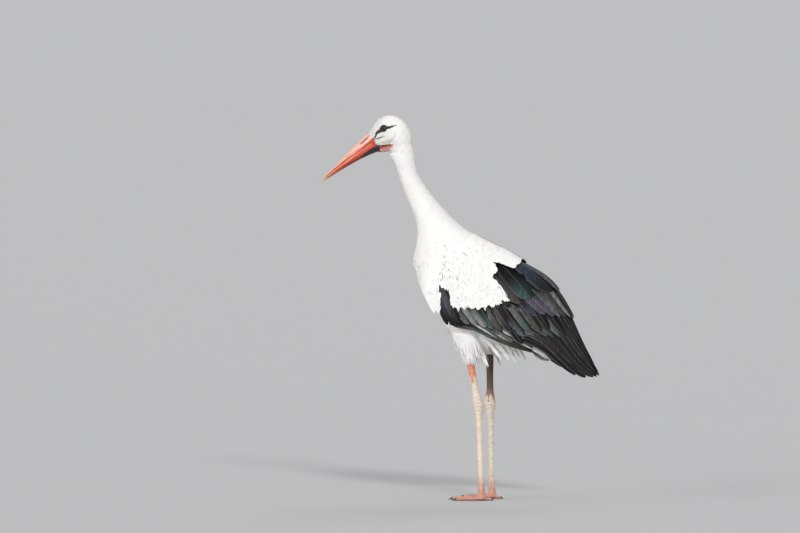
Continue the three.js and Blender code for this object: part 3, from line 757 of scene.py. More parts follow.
def billColour(points):
    behind, above = billPlace(points)
    share = np.maximum(behind, 0) / bill["length"]
    height = above / (bill["tipHeight"] + bill["culmen"] * share**0.8)  # 1 along the ridge
    gap = above - mouthLine(behind)
    # pale flakes near the base, and a painted highlight over the upper half of the upper mandible
    flakesAndHighlight = bell(above, 7, 2.6) * blend(behind, 96, 136) + 0.4 * blend(height, 0.45, 0.7)
    # a painted highlight along the lower mandible's upper edge, fainter towards the base
    lipHighlight = bell(gap, -2.6, 1.4) * (1 - 0.9 * blend(behind, 100, 140))
    # painted shade along the lower mandible's underside, from about a third of the way back
    rim = 1 - blend(gap, -0.10 * behind - 1, -0.055 * behind - 0.5)
    shares = {
        # painted highlight along the ridge
        "ridgeHighlight": blend(height, 0.74, 0.96) * 0.8,
        "flakesAndHighlight": np.clip(flakesAndHighlight, 0, 1) * 0.75,
        "root": blend(behind, 112, 156) * (1 - blend(gap, 3.5, 8.5)),
        # painted shade in the groove just above the mouth line
        "grooveShade": bell(height, 0.17, 0.13) * blend(behind, 34, 56) * (1 - blend(behind, 96, 122)) * 0.85,
        "streak": bell(height, 0.16, 0.12) * blend(behind, 132, 148),
        # painted shade about the nostril
        "nostril": bell(height, 0.5, 0.14) * blend(behind, 140, 150) * 0.5,
        # painted shade along the mouth line, where the mandibles meet
        "mouthShade": bell(gap, 0, 1.5) * blend(behind, 10, 24) * 0.85,
        # the lower mandible, its deeper red partly painted shade
        "lower": 1 - blend(gap, -3.6, -0.9),
        "lipHighlight": lipHighlight * 0.9,
        "redLipHighlight": lipHighlight * blend(behind, 78, 100) * 0.9,
        "rim": rim * blend(behind, 50, 90) * 0.85,
        "tip": 1 - blend(behind, 2, 34),
    }
    layers = [(billHues[key], share) for key, share in shares.items()]
    return layered(plain(billHues["horn"], points), layers)


def headColour(points, base):
    masks = headMasks(points)
    x, y, z = np.moveaxis(points, -1, 0)
    # a grey mottle, towards the rear of the head and over its lower cheek
    waves = blend(np.sin(x * 0.31 + y * 0.2) * np.sin(z * 0.27 + 1.3), 0.1, 0.9)
    rearMottle = waves * np.maximum(blend(x, -226, -206), 0.5 * blend(-z, -868, -850))
    spot = blend(strokeDepth(x, z, loreSpot), -1.5, 1.0) * (masks["lore"] > 0.5)
    colour = layered(base, [
        (colours["rearGrey"], rearMottle * 0.3),
        # yellowish grey painted shade under the cheek lobe
        (colours["underLobeShade"], masks["lobeShade"] * 0.5),
        # a dark line in the feathers' crease above the cheek lobe, painted shade
        (colours["crease"], masks["crease"] * 0.95),
        (colours["black"], np.maximum(masks["lore"], masks["streak"])),
        (colours["loreSpot"], spot),
    ])
    colour = np.where(masks["front"][..., None] > 0.5, billColour(points), colour)
    return layered(colour, [
        (colours["pink"], masks["throat"]),
        (colours["gape"], masks["gape"] * (1 - 0.5 * masks["throat"])),
        (colours["gular"], np.maximum(masks["gular"], masks["lobeLine"])),
        (colours["gularShine"], masks["gularShine"] * 0.6),
    ])


# skin under the coat
skinStyle = {
    "voxel": 3.0, "smoothing": 9, "headDepth": 1.4, "neckDepth": 2.4, "bodyDepth": 4.4, "thighDepth": 5.0,
    "hemRise": 1.5,
    "fineAbove": 826, "fineAhead": -227,  # where the head's skin is finer than the rest
    "socket": 0.5, "lobe": 1.7, "lobeLine": 1.6,  # how far they stand out or lie in
}


def coatDepth(points):  # how far the skin lies under the plumage
    z = points[..., 2]
    depth = partWay((skinStyle["headDepth"], skinStyle["neckDepth"]), 1 - blend(z, 770, 850))
    depth = depth + (skinStyle["bodyDepth"] - skinStyle["neckDepth"]) * (1 - blend(z, 600, 720))
    return depth - skinStyle["hemRise"] * (1 - blend(z, 330, 400))


def eyeGap(points):  # from the eye's middle, seen from the side
    return np.hypot(points[:, 0] - eye["x"], points[:, 2] - eye["z"])


def joinedSkin():
    angles = circle(64)[None]
    u = np.linspace(0, len(trunkRows) - 1, 140)[:, None]
    parts = [tube("skin", tubePoint(trunkRows, u, angles, -coatDepth(tubePoint(trunkRows, u, angles))))]
    u = np.linspace(0, len(skullRows) - 1, 60)[:, None]
    parts.append(tube("skull_skin", tubePoint(skullRows, u, angles, -skinStyle["headDepth"])))
    u = np.linspace(0, 2.97, 40)[:, None]  # the thighs end a little short of their hems
    for name, leg in legs.items():
        parts.append(tube("thigh_skin_" + name, thighSurface(leg)(u, angles, -skinStyle["thighDepth"])))
    piece = joinPieces("skin", parts)
    applyModifier(piece, "REMESH", mode="VOXEL", voxel_size=skinStyle["voxel"] * 0.001)
    applyModifier(piece, "SMOOTH", factor=0.5, iterations=skinStyle["smoothing"])
    return piece


def refineHead(piece):
    middles = fromFrame(readVectors(piece.data.polygons, "center"))
    onHead = (middles[:, 2] > skinStyle["fineAbove"]) & (middles[:, 0] < skinStyle["fineAhead"])
    onlySelect(piece)
    bpy.ops.object.mode_set(mode="EDIT")
    bpy.ops.mesh.select_mode(type="FACE")
    bpy.ops.mesh.select_all(action="DESELECT")
    bpy.ops.object.mode_set(mode="OBJECT")
    piece.data.polygons.foreach_set("select", onHead)
    bpy.ops.object.mode_set(mode="EDIT")
    bpy.ops.mesh.subdivide(number_cuts=2, smoothness=0.5)
    bpy.ops.mesh.select_all(action="SELECT")
    bpy.ops.mesh.quads_convert_to_tris()
    bpy.ops.object.mode_set(mode="OBJECT")


def makeSkin():
    piece = joinedSkin()
    refineHead(piece)
    points = birdPoints(piece)
    masks = headMasks(points)
    flank = np.abs(points[:, 1])
    socket = blend(-eyeGap(points), -15, -9) * (flank > 12) * skinStyle["socket"]
    raised = np.maximum.reduce([masks["front"], masks["gape"] * 0.7, masks["gular"] * 0.9, socket])
    raised = raised * skinStyle["headDepth"] - masks["lobeLine"] * skinStyle["lobeLine"]
    lobe = strokeDepth(points[:, 0], points[:, 2], headStrokes["lobe"])
    raised = raised + skinStyle["lobe"] * blend(lobe, -1.0, 5.0) * blend(flank, 6, 12)
    points += readVectors(piece.data.vertices, "normal") * raised[:, None]
    setPoints(piece.data, toFrame(points))
    base = plain(colours["down"], points)
    setColour(piece.data, np.where((points[:, 2] > 800)[:, None], headColour(points, base), base))
    piece.data.shade_smooth()
    finishPiece(piece, "skin", "white_plumage", "head", "neck_upper", "neck_lower", "torso",
                "thigh_left", "thigh_right")
    print("  skin", len(piece.data.polygons), "faces")
    return piece


class SkinGuide:  # finds places on the skin and follows it
    def __init__(self, piece):
        mesh = piece.data
        self.points = birdPoints(piece)
        corners = np.empty(len(mesh.loops), np.int32)
        mesh.loops.foreach_get("vertex_index", corners)
        self.faces = corners.reshape(-1, 3)
        self.normals = unit(readVectors(mesh.vertices, "normal")[self.faces].sum(1))
        self.tree = BVHTree.FromPolygons(self.points.tolist(), self.faces.tolist())
        a, b, c = (self.points[self.faces[:, i]] for i in range(3))
        self.areas = np.linalg.norm(np.cross(b - a, c - a), axis=1) / 2

    def roots(self, spacing, region):  # even random places, one to each cell of the spacing
        middles = self.points[self.faces].mean(1)
        weight = self.areas * region(middles)
        count = int(weight.sum() / spacing**2 * 5)
        picked = chance.choice(len(weight), count, p=weight / weight.sum())
        r, q = np.sqrt(chance.random(count)), chance.random(count)
        a, b, c = (self.points[self.faces[picked, i]] for i in range(3))
        places = a * (1 - r)[:, None] + b * (r * (1 - q))[:, None] + c * (r * q)[:, None]
        cells = np.floor(places / (spacing * 1.12)).astype(int)
        _, first = np.unique(cells, axis=0, return_index=True)
        return places[first], self.normals[picked[first]]

    def follow(self, places, normals, lie, length, steps):
        path, ways = [places], [normals]
        heading = lie
        for _ in range(steps - 1):
            heading = unit(heading - np.sum(heading * ways[-1], -1, keepdims=True) * ways[-1])
            ahead = path[-1] + heading * (length / (steps - 1))[:, None]
            found = [self.tree.find_nearest(p) for p in ahead.tolist()]
            path.append(np.array([f[0] for f in found]))
            ways.append(self.normals[[f[2] for f in found]])
        return np.stack(path, 1), np.stack(ways, 1)


lieGuides = np.array([  # x, z, and the way the feathers lie there, seen from the side
    (-300, 875, 0.8, 0.5), (-278, 914, 0.95, 0.3), (-248, 924, 1, -0.05), (-215, 914, 0.8, -0.6),
    (-190, 880, 0.15, -1), (-285, 878, 0.9, 0.3), (-275, 855, 1, -0.1), (-255, 856, 1, 0.0),
    (-240, 880, 0.98, -0.15), (-262, 898, 0.98, 0.15), (-235, 860, 0.85, -0.4), (-212, 870, 0.5, -0.85),
    (-250, 838, 0.8, -0.5), (-235, 822, 0.3, -0.95), (-195, 840, 0.05, -1), (-205, 800, 0.12, -1),
    (-200, 750, 0.28, -0.96), (-160, 750, 0.4, -0.92), (-190, 700, 0.25, -0.97), (-120, 712, 0.7, -0.72),
    (-150, 690, 0.5, -0.86), (-180, 650, 0.08, -1), (-75, 665, 0.8, -0.55), (-125, 640, 0.5, -0.86),
    (-183, 600, 0.12, -1), (-30, 636, 0.9, -0.42), (-80, 600, 0.75, -0.66), (-140, 570, 0.4, -0.9),
    (-172, 535, 0.25, -0.97), (-140, 480, 0.45, -0.9), (-100, 420, 0.55, -0.83), (-60, 375, 0.7, -0.7),
    (-60, 480, 0.6, -0.8), (0, 420, 0.6, -0.8), (0, 352, 0.8, -0.55), (60, 358, 0.75, -0.65),
    (90, 400, 0.5, -0.86), (105, 450, 0.35, -0.93), (80, 540, 0.6, -0.8), (30, 590, 0.85, -0.5),
])


def lieAt(points):
    gaps = ((points[:, None, [0, 2]] - lieGuides[None, :, :2]) ** 2).sum(-1)
    weight = 1 / (gaps + 150) ** 2
    way = (weight[..., None] * lieGuides[None, :, 2:]).sum(1)
    leg = blend(np.abs(points[:, 1]), 12, 26) * (1 - blend(points[:, 2], 375, 420)) * (points[:, 0] < 20)
    way = unit(way) * (1 - leg)[:, None] + np.array([0.1, -1.0]) * leg[:, None]
    return unit(np.stack([way[:, 0], -0.12 * np.sign(points[:, 1]) * leg, way[:, 1]], -1))


def unwrapAt(points):  # a place for each tuft's patch on a plan of the skin: along the bird and round it
    x, y, z = points.T
    along = np.clip((900 - z) / 1100 + (x + 300) / 1200, 0, 1) * 0.5
    middle = np.interp(z, [350, 450, 600, 700, 800, 900], [20, -10, -110, -165, -205, -250])
    return along, (np.arctan2(y, x - middle) / (2 * math.pi)) % 1.0


def whiteTint(points, shadeSpread=0.03):
    x, z = points[..., 0], points[..., 2]
    # the foreneck is tinted cream as painted shade, and every tuft gets a little random cream tone of its
    # own
    foreneckShade = blend(z, 540, 640) * (1 - blend(z, 730, 790)) * (1 - blend(x, -200, -150))
    creamShadeAndTone = foreneckShade * 0.3 + 0.06 * chance.random(len(points))
    base = mixColour(plain(colours["white"], points), colours["cream"], creamShadeAndTone)
    return base * (1 - shadeSpread * chance.random(len(points)))[:, None]


coatStyle = {  # mm between roots, length, half the width, how far the tips stray, and where it grows
    "head": {"form": "hair", "spacing": 1.4, "length": (4.5, 7.0), "half": (0.75, 1.15), "stray": 0.25,
             "shade": 0.05, "relief": 0.7, "heights": (826, 1000)},
    "neck": {"form": "lance", "spacing": 2.3, "length": (11, 18), "half": (1.6, 2.5), "stray": 0.25,
             "shade": 0.095, "relief": 0.6, "heights": (655, 836)},
    "breast": {"form": "contour", "spacing": 5.6, "length": (24, 34), "half": (4.6, 6.4), "stray": 0.08,
               "heights": (395, 705), "rear": 60},
    "strands": {"form": "lance", "spacing": 3.5, "length": (16, 30), "half": (1.1, 1.8), "stray": 0.12,
                "heights": (380, 680), "rear": 40},
    "rump": {"form": "contour", "spacing": 6.5, "length": (24, 34), "half": (4.0, 6.0), "stray": 0.4,
             "heights": (0, 470)},
    "thigh": {"form": "lance", "spacing": 2.8, "length": (22, 34), "half": (1.2, 2.2), "stray": 0.45,
              "shade": 0.1, "relief": 1.0, "heights": (0, 430)},
}
tuftStyle = {"steps": 4, "root": -0.5, "tuck": 0.25, "eyeRoom": 9.2, "eyesAbove": 860}  # in all the coats
hiddenStyle = {"front": -112, "belowRidge": 38, "aboveEdge": 42, "inside": 22}
thighEnds = {"front": -76, "rear": 24, "top": 412, "inside": 16, "aboveHem": 12}


def underWing(points):  # what the folded wings hide, with a wavy upper end
    x, y, z = points.T
    top = wingRidge(x) - hiddenStyle["belowRidge"] + 9 * np.sin(0.23 * x) + 5 * np.sin(0.61 * x)
    within = (z < top) & (z > wingEdge(x) + hiddenStyle["aboveEdge"])
    return within & (x > hiddenStyle["front"]) & (np.abs(y) > hiddenStyle["inside"])


def isThigh(points):
    x, y, z = points.T
    within = (z < thighEnds["top"]) & (np.abs(y) > thighEnds["inside"])
    return within & (x > thighEnds["front"]) & (x < thighEnds["rear"])


def coatRegion(key, points):  # 1 where a coat grows, else 0
    x, y, z = points.T
    low, high = coatStyle[key]["heights"]
    grows = (z > low) & (z < high) & (x < coatStyle[key].get("rear", 1000))
    if key not in ("head", "neck"):
        grows &= ~underWing(points)
    if key in ("rump", "thigh"):
        grows &= ~isThigh(points)
    if key == "thigh":
        hem = np.where(y > 0, legs["right"]["hem"], legs["left"]["hem"])
        grows |= isThigh(points) & (z > hem + thighEnds["aboveHem"])
    return grows.astype(float)


def resample(path, stations):  # moves a path's even places to a form's stations
    even = np.linspace(0, 1, path.shape[1])
    return np.stack([np.stack([np.interp(stations, even, axis) for axis in line.T], -1) for line in path])


fullPiece = 190000  # triangles, past which a coat is made in several pieces


def layCoat(guide, key):
    style = coatStyle[key]
    form = style["form"]
    places, normals = guide.roots(style["spacing"], lambda points: coatRegion(key, points))
    masks = headMasks(places)
    byEye = (eyeGap(places) < tuftStyle["eyeRoom"]) & (places[:, 2] > tuftStyle["eyesAbove"])
    bare = (masks["bare"] > 0.5) | (masks["lore"] > 0.1) | byEye
    places, normals = places[~bare], normals[~bare]
    count = len(places)
    grow = np.ones(count)
    if key == "head":  # shorter towards the bill
        grow = 0.55 + 0.55 * blend(billPlace(places)[0], 180, 260)
    if key == "neck":  # longer towards the breast
        grow = 0.75 + 0.45 * (1 - blend(places[:, 2], 660, 830))
    length = draw(style["length"], count) * grow
    lie = unit(lieAt(places) + chance.normal(0, 0.07, (count, 3)))
    centre, ways = guide.follow(places, normals, lie, length, tuftStyle["steps"])
    stations, _, columns = formOf(form)
    if form != "lance":  # a lance has as many stations as the guide has steps
        centre, ways = resample(centre, stations), unit(resample(ways, stations))
    tint = whiteTint(places, style.get("shade", 0.03))
    if key == "head":
        tint = headColour(places, tint)
    top = coatDepth(places) - tuftStyle["tuck"] + chance.uniform(-1, 1, count) * style["stray"]
    vane = {"sink": 0.45, "thick": 0.2}
    if form == "contour":
        vane = {"sink": 1.0, "thick": 0.3, "ragged": 0.05, "camber": 0.02}
    each = len(lensTriangles(len(stations), len(columns)))
    pieces = 1 + count * each // fullPiece
    for part in range(pieces):
        chosen = np.arange(count) % pieces == part
        half = draw(style["half"], count)[chosen] * np.sqrt(grow[chosen])
        patchAt = [axis[chosen] for axis in unwrapAt(places)]
        coat = Coat()
        lift = tuftStyle["root"], top[chosen]
        coat.layFlat(centre[chosen], ways[chosen], half, form, lift, tint[chosen], patchAt,
                     tilt=chance.normal(0, 0.02, chosen.sum()), relief=style.get("relief", 0.5), under=1.0,
                     **vane)
        suffix = "" if pieces == 1 else "_" + str(part + 1)
        coat.make("coat_" + key + suffix, "white", "white_plumage")


# wings
wingHues = {
    "ink": (0.004, 0.004, 0.005), "coal": (0.011, 0.011, 0.012), "steel": (0.021, 0.030, 0.043),
    "bottle": (0.036, 0.068, 0.062), "umber": (0.043, 0.038, 0.034), "violet": (0.066, 0.054, 0.082),
    "slate": (0.070, 0.078, 0.078), "ash": (0.150, 0.163, 0.150), "pearl": (0.60, 0.57, 0.54),
}
wingTiers = {  # roots and tips are (x, share of the way down), the first feather is the uppermost
    "primaries": {"lift": -6.5, "half": 12, "pale": 0.3, "root": [(40, 0.5), (-62, 0.985)],
                  "tips": [(264, 0.08), (274, 0.18), (283, 0.29), (290, 0.41), (294, 0.53), (292, 0.65),
                           (284, 0.76), (268, 0.86), (246, 0.93), (216, 0.97), (176, 0.985)],
                  "hues": [("coal", "coal"), ("umber", "ink"), ("ink", "ink")]},
    "secondaries": {"lift": -4.4, "half": 12.5, "pale": 0.7, "root": [(40, 0.46), (-58, 0.955)],
                    "tips": [(221, 0.6), (209, 0.68), (197, 0.76), (182, 0.80), (167, 0.83), (153, 0.86),
                             (140, 0.885), (129, 0.915), (118, 0.94), (106, 0.96), (90, 0.972), (60, 0.985)],
                    "hues": [("ink", "coal"), ("coal", "slate"), ("ink", "umber"), ("coal", "bottle")]},
    "slivers": {"lift": -2.7, "half": [3.4, 3.4, 3.4, 3.4, 5.5], "pale": 0.2, "form": "lance",
                "root": [(52, 0.9), (88, 0.945), (10, 0.935), (-40, 0.94), (134, 0.972)],
                "tips": [(102, 0.94), (152, 0.988), (104, 0.986), (66, 0.994), (191, 0.999)],
                "hues": [("pearl", "pearl"), ("ash", "pearl"), ("pearl", "ash"), ("pearl", "pearl"),
                         ("pearl", "pearl")]},
    "tertials": {"lift": -1.6, "half": 15, "pale": 0.5, "root": [(86, 0.04), (84, 0.5)],
                 "tips": [(229, 0.09), (226, 0.2), (216, 0.33), (205, 0.45), (193, 0.54), (174, 0.61),
                          (158, 0.68)],
                 "hues": [("ink", "coal"), ("umber", "ash"), ("umber", "umber"), ("ink", "slate"),
                          ("coal", "violet"), ("violet", "violet"), ("ink", "steel")]},
    "greaterCoverts": {"lift": -1.2, "half": 11.5, "pale": 0.6,
                       "root": [(121, 0.48), (100, 0.59), (80, 0.65), (58, 0.69), (50, 0.7), (35, 0.72),
                                (13, 0.74), (-6, 0.75), (-26, 0.76), (-47, 0.755), (-68, 0.745)],
                       "tips": [(184, 0.74), (166, 0.81), (144, 0.84), (128, 0.9), (124, 0.968), (98, 0.9),
                                (76, 0.916), (55, 0.935), (36, 0.95), (13, 0.965), (-7, 0.975)],
                       "hues": [("coal", "coal"), ("umber", "umber"), ("slate", "bottle"), ("ink", "slate"),
                                ("ink", "ink"), ("umber", "coal"), ("slate", "umber"), ("coal", "bottle"),
                                ("slate", "ash"), ("ash", "ash"), ("umber", "slate")]},
    "alula": {"lift": 0.2, "under": -3.6, "half": 8, "pale": 0.15, "root": [(-88, 0.70), (-101, 0.80)],
              "tips": [(-28, 0.972), (-34, 0.986), (-46, 0.995), (-60, 1.0)],
              "hues": [("umber", "coal"), ("violet", "ink"), ("steel", "ink"), ("coal", "ink")]},
    "scapulars": {"lift": 1.0, "half": [13, 26, 25, 15, 13], "pale": 0.3,
                  "root": [(80, 0.02), (74, 0.1), (46, 0.3), (38, 0.48), (34, 0.58)],
                  "tips": [(190, 0.07), (180, 0.27), (139, 0.55), (117, 0.64), (94, 0.69)],
                  "hues": [("steel", "violet"), ("steel", "coal"), ("ink", "bottle"), ("umber", "umber"),
                           ("coal", "ink")]},
}


def quillTint(tier, count, side):
    pairs = [tier["hues"][k % len(tier["hues"])] for k in range(count)]
    first, last = (np.array([wingHues[pair[i]] for pair in pairs]) for i in (0, 1))
    first, last = (hue * chance.uniform(0.85, 1.2, (count, 1)) for hue in (first, last))
    strength = chance.uniform(0.5, 1.0, count) * tier["pale"]

    def tint(share, across):
        down = across * side  # 1 at the vane's lower rim
        base = first[:, None] + (last - first)[:, None] * blend(share, 0.45, 0.9)[..., None]
        # darker where the feather above overlaps, as painted shadow, and lighter along the middle of the
        # strip that shows, as a painted sheen
        base = base * (0.25 + 0.65 * blend(down, -0.6, 0.3) + 0.6 * bell(down, 0.5, 0.3))[..., None]
        rim = blend(down, 0.86, 1.0) * strength[:, None]
        shaft = (np.abs(across) < 0.05) * strength[:, None] * (1 - 0.4 * share)
        return layered(base, [((0.30, 0.29, 0.28), rim), ((0.30, 0.29, 0.26), shaft)])
    return tint


def wingQuills(name, side):
    coat = Coat()
    surface = wingSurface(side)
    cell = 0
    for tier in wingTiers.values():
        tips = np.array(tier["tips"], float)
        count = len(tips)
        k = np.linspace(0, 1, count)
        ends = np.linspace(0, 1, len(tier["root"]))
        root = np.stack([np.interp(k, ends, axis) for axis in np.array(tier["root"], float).T], -1)
        tips[:, 0] += chance.uniform(-2, 2, count)
        u, v = root[:, 0] + chance.uniform(-3, 3, count), root[:, 1]
        half = np.array(tier["half"]) * chance.uniform(0.95, 1.05, count)
        place = np.arange(count) + cell
        patchAt = (place % 10 * 0.1 + 0.05, place // 10 * 0.1 + 0.05)
        coat.lay(surface, u, v, tips[:, 0] - u, tips[:, 1] - v, half, tier.get("form", "quill"),
                 (tier.get("under", -9.5), tier["lift"] + chance.uniform(-0.25, 0.25, count)),
                 quillTint(tier, count, side), patchAt, low=0.004, tilt=side * 0.085, thick=0.8,
                 shaft=1.0, notch=0.04, ragged=0.01, patch=0.09)
        cell += count
    coat.make("quills_" + name, "wing", "wing_plumage", "wing_" + name)


whiteEdge = smoothCurve([  # how far back the white reaches, by share
    (0, 93), (0.05, 95), (0.15, 97), (0.27, 94), (0.327, 85), (0.345, 66), (0.365, 42), (0.4, 47),
    (0.461, 51), (0.539, 45), (0.582, 68), (0.64, 86), (0.671, 93), (0.69, 84), (0.709, 73),
    (0.754, 63), (0.802, 40), (0.843, 21), (0.869, -4), (0.885, -40), (0.91, -62), (0.94, -84), (1, -100)])
blackWedge = [  # where the alula shows: x, hundredths of the way down, half the width
    (-81, 73.5, 0.8), (-81, 78, 3.0), (-75, 84, 6.5), (-66, 90, 11), (-60, 103, 22)]
whiteStyle = {
    "coverts": {"step": 6.4, "row": 0.041, "length": (18, 38), "half": (4.2, 7.0)},  # both grow to the rear
    "strands": {"count": 4400, "x": (-163, 90), "length": (14, 30), "half": (0.9, 1.8)},
    "bend": {"count": 2200, "x": (-163, -96), "length": (12, 24), "half": (1.0, 1.9)},
    "down": {"step": 9.5, "row": 0.062, "length": (26, 32), "half": (8.0, 9.5)},
    "lobe": 17.0, "lobeDepth": 0.018,  # the points along the white's lower edge
}


def lieTurn(x, share):  # how far the white feathers turn down from the wing's length
    down = 0.3 + 0.85 * blend(share, 0.3, 0.8)
    return down * (1 - 0.38 * blend(x, 0, 80) * (share > 0.5))


def onWhite(x, share, margin):  # whether a place lies on the white of the wing
    wedge = strokeDepth(x, share * 100, blackWedge) > margin - 2
    lobes = (1 - 2 * np.abs(np.sin(math.pi * x / whiteStyle["lobe"]))) * blend(share, 0.72, 0.8)
    edge = whiteEdge(share - whiteStyle["lobeDepth"] * lobes)
    return (x < edge + margin) & (share < 1.0) & ~wedge


def layWhites(coat, side, x, share, length, half, form, lift, margin=2, **shape):
    surface = wingSurface(side)
    turn = lieTurn(x, share) + chance.normal(0, 0.07, len(x))
    du, dv = stepAlong(surface, x, share, turn, length)
    sideU, sideV = stepAlong(surface, x + 0.7 * du, share + 0.7 * dv, turn + math.pi / 2, half)
    shorten = np.zeros(len(x))
    for factor in (0.5, 0.7, 1.0):  # the longest that keeps its tip and both rims off the black
        kept = np.ones(len(x), bool)
        for reach, aside in ((1.0, 0.0), (0.7, 0.9), (0.7, -0.9)):
            reach = reach * factor
            kept &= onWhite(x + du * reach + sideU * aside, share + dv * reach + sideV * aside, margin)
        shorten[kept] = factor
    kept = shorten > 0
    du, dv = du * shorten, dv * shorten
    x, share, du, dv, half, top = (a[kept] for a in (x, share, du, dv, half, lift[1]))
    shape = {key: value[kept] if np.ndim(value) else value for key, value in shape.items()}
    coat.lay(surface, x, share, du, dv, half, form, (lift[0], top), whiteTint(surface(x, share)),
             ((x + 165) / 300, share * 0.9 + 0.03), low=-0.06, under=1.0, **shape)


def whiteGrid(style, ends, shares):
    x, share = np.meshgrid(np.arange(*ends, style["step"]), np.arange(*shares, style["row"]), indexing="ij")
    return x.ravel(), share.ravel()


def atFront(x):  # 1 at the wing's front, where its feathers lie closer to the body
    return 1 - blend(x, -160, -130)


def wingWhites(name, side):
    coat = Coat()
    style = whiteStyle["coverts"]
    x, share = whiteGrid(style, (-160, 92), (0.0, 0.99))
    x = x + chance.uniform(-3.5, 3.5, len(x))
    share = np.clip(share + chance.uniform(-0.02, 0.02, len(x)), 0, 0.98)
    back = blend(x, -150, 40)
    length = partWay(style["length"], back) * draw((0.85, 1.15), len(x))
    half = partWay(style["half"], back) * draw((0.9, 1.1), len(x))
    layWhites(coat, side, x, share, length, half, "covert",
              (-4.0, 1.7 - 1.2 * atFront(x) + chance.uniform(-0.1, 0.1, len(x))), tilt=side * 0.01,
              camber=0.016, ragged=0.05, sink=1.0, relief=0.7, thick=0.3)
    style = whiteStyle["strands"]
    count = style["count"]
    x, share = draw(style["x"], count), draw((0, 0.99), count)
    length = draw(style["length"], count)
    layWhites(coat, side, x, share, length, draw(style["half"], count), "lance",
              (-1.0, 1.95 - 1.2 * atFront(x) + chance.uniform(-0.15, 0.15, count)), margin=0, sink=0.5,
              relief=0.5, thick=0.25)
    style = whiteStyle["bend"]
    count = style["count"]
    x, share = draw(style["x"], count), draw((0, 0.97), count)
    proud = 1 - blend(x, -140, -104)  # they lie down into the rest towards the rear
    layWhites(coat, side, x, share, draw(style["length"], count), draw(style["half"], count), "lance",
              (-1.5, 1.9 + (0.2 + proud) * chance.random(count)), margin=-4, sink=0.7 + 0.5 * proud,
              relief=0.4, thick=0.2)
    coat.make("coverts_" + name, "white", "wing_plumage")


def wingDown(name, side):  # broad white feathers, so that nothing dark shows between the others
    coat = Coat()
    style = whiteStyle["down"]
    x, share = whiteGrid(style, (-158, 84), (0.01, 0.96))
    x = x + chance.uniform(-3, 3, len(x))
    layWhites(coat, side, x, share, draw(style["length"], len(x)), draw(style["half"], len(x)), "covert",
              (-3.4, -1.4 - atFront(x)), margin=-7, relief=0.3, thick=0.3)
    coat.make("down_" + name, "white", "wing_plumage")


liningStyle = {
    "top": [(-163, 0.8), (-134, 0.5), (-96, 0.28), (-60, 0.24), (0, 0.16), (60, 0.05), (170, 0.05)],
    "ends": (-156, 200), "lowest": 0.955,
    "outer": (-3.0, -8.6), "inner": (-11.0, -10.8),  # how far out its faces lie, in front and behind
    "colour": (0.02, 0.02, 0.022),
}


def wingLining(name, side):  # the closed arm and its lining under the feathers
    style = liningStyle
    top = smoothCurve(style["top"])
    x = np.linspace(*style["ends"], 60)[:, None]
    way = np.linspace(0, 1, 30)
    share = top(x) + (style["lowest"] - top(x)) * way[None]
    point, normal, _, _ = surfaceFrame(wingSurface(side), x + 0 * share, share)
    thin = blend(x, -70, 10)[..., None] + 0 * share[..., None]
    outer, inner = partWay(style["outer"], thin), partWay(style["inner"], thin)
    middle = (outer + inner) / 2
    swell = np.sqrt(np.clip(np.minimum(way, way[::-1])[None, :, None] * 8, 0, 1))
    rings = [point + normal * (middle + (face - middle) * swell) for face in (outer, inner)]
    piece = tube("lining_" + name, np.concatenate([rings[0], rings[1][:, ::-1]], 1))
    points = birdPoints(piece)
    dark = blend(points[:, 0], -60, 0)
    setColour(piece.data, mixColour(plain(colours["down"], points), style["colour"], dark))
    finishPiece(piece, "skin", "wing_plumage")


# tail and vent
tail = {"root": (84, 478), "tip": (160, 341), "feathers": 12, "fan": (14, 37), "half": 13, "layer": 1.4,
        "coverts": 90}
plumes = {
    "vent": [  # root x and z, tip x and z, half the width, how far out
        (14, 399, 62, 337, 2.4, 50), (22, 392, 56, 342, 3.0, 48), (38, 384, 79, 337, 3.0, 44),
        (50, 384, 84, 350, 4.5, 34), (60, 380, 94, 332, 3.2, 36), (-4, 372, 24, 320, 3.0, 44),
        (112, 385, 176, 341, 2.6, 44)],
    "each": 20, "arch": 3, "trousers": 420, "trouserLength": (26, 48),
}


def planeSurface(start, end, spread):  # a flat fan: u runs from root to tip, v across
    along = np.array([end[0] - start[0], 0, end[1] - start[1]], float)
    normal = unit(np.array([-along[2], 0, along[0]]))

    def at(u, v, grow=0.0):
        wide = spread[0] + (spread[1] - spread[0]) * u
        base = np.array([start[0], 0, start[1]])
        droop = 0.5 * np.abs(v)[..., None] * 8 * u[..., None] ** 2
        point = base + along * u[..., None] + normal * (grow - droop)
        return point + np.array([0, 1, 0]) * (v * wide)[..., None]
    return at


def makeTail():
    coat = Coat()
    surface = planeSurface(tail["root"], tail["tip"], tail["fan"])
    count = tail["feathers"]
    k = np.linspace(-1, 1, count)
    lift = -tail["layer"] * np.abs(k) * count / 2
    place = ((np.arange(count) + 0.5) / 14, np.full(count, 0.06))
    tint = whiteTint(plain((120, 0, 400), np.zeros((count, 3))), 0.06)
    coat.lay(surface, np.full(count, 0.02), k, 1.02 - 0.12 * k * k, 0 * k, tail["half"], "quill",
             (lift, lift), tint, place, tilt=np.sign(k) * 0.08, camber=0.002, thick=0.9, shaft=0.6,
             notch=0.05, patch=0.05)
    count = tail["coverts"]
    for gap in (3.0, -13.0):  # coverts over and under the tail's roots
        k = chance.uniform(-1, 1, count)
        start = chance.uniform(0.0, 0.42, count)
        coat.lay(surface, start, k * 0.9, chance.uniform(0.2, 0.36, count), 0.05 * k, draw((4, 7), count),
                 "covert", (gap * 0.3, gap + chance.uniform(-1.5, 1.5, count)),
                 whiteTint(plain((100, 0, 440), np.zeros((count, 3)))), (start + 0.1, (k + 1) / 2.5 + 0.15),
                 ragged=0.12, camber=0.004)
    coat.make("tail_feathers", "white", "white_plumage", "tail")


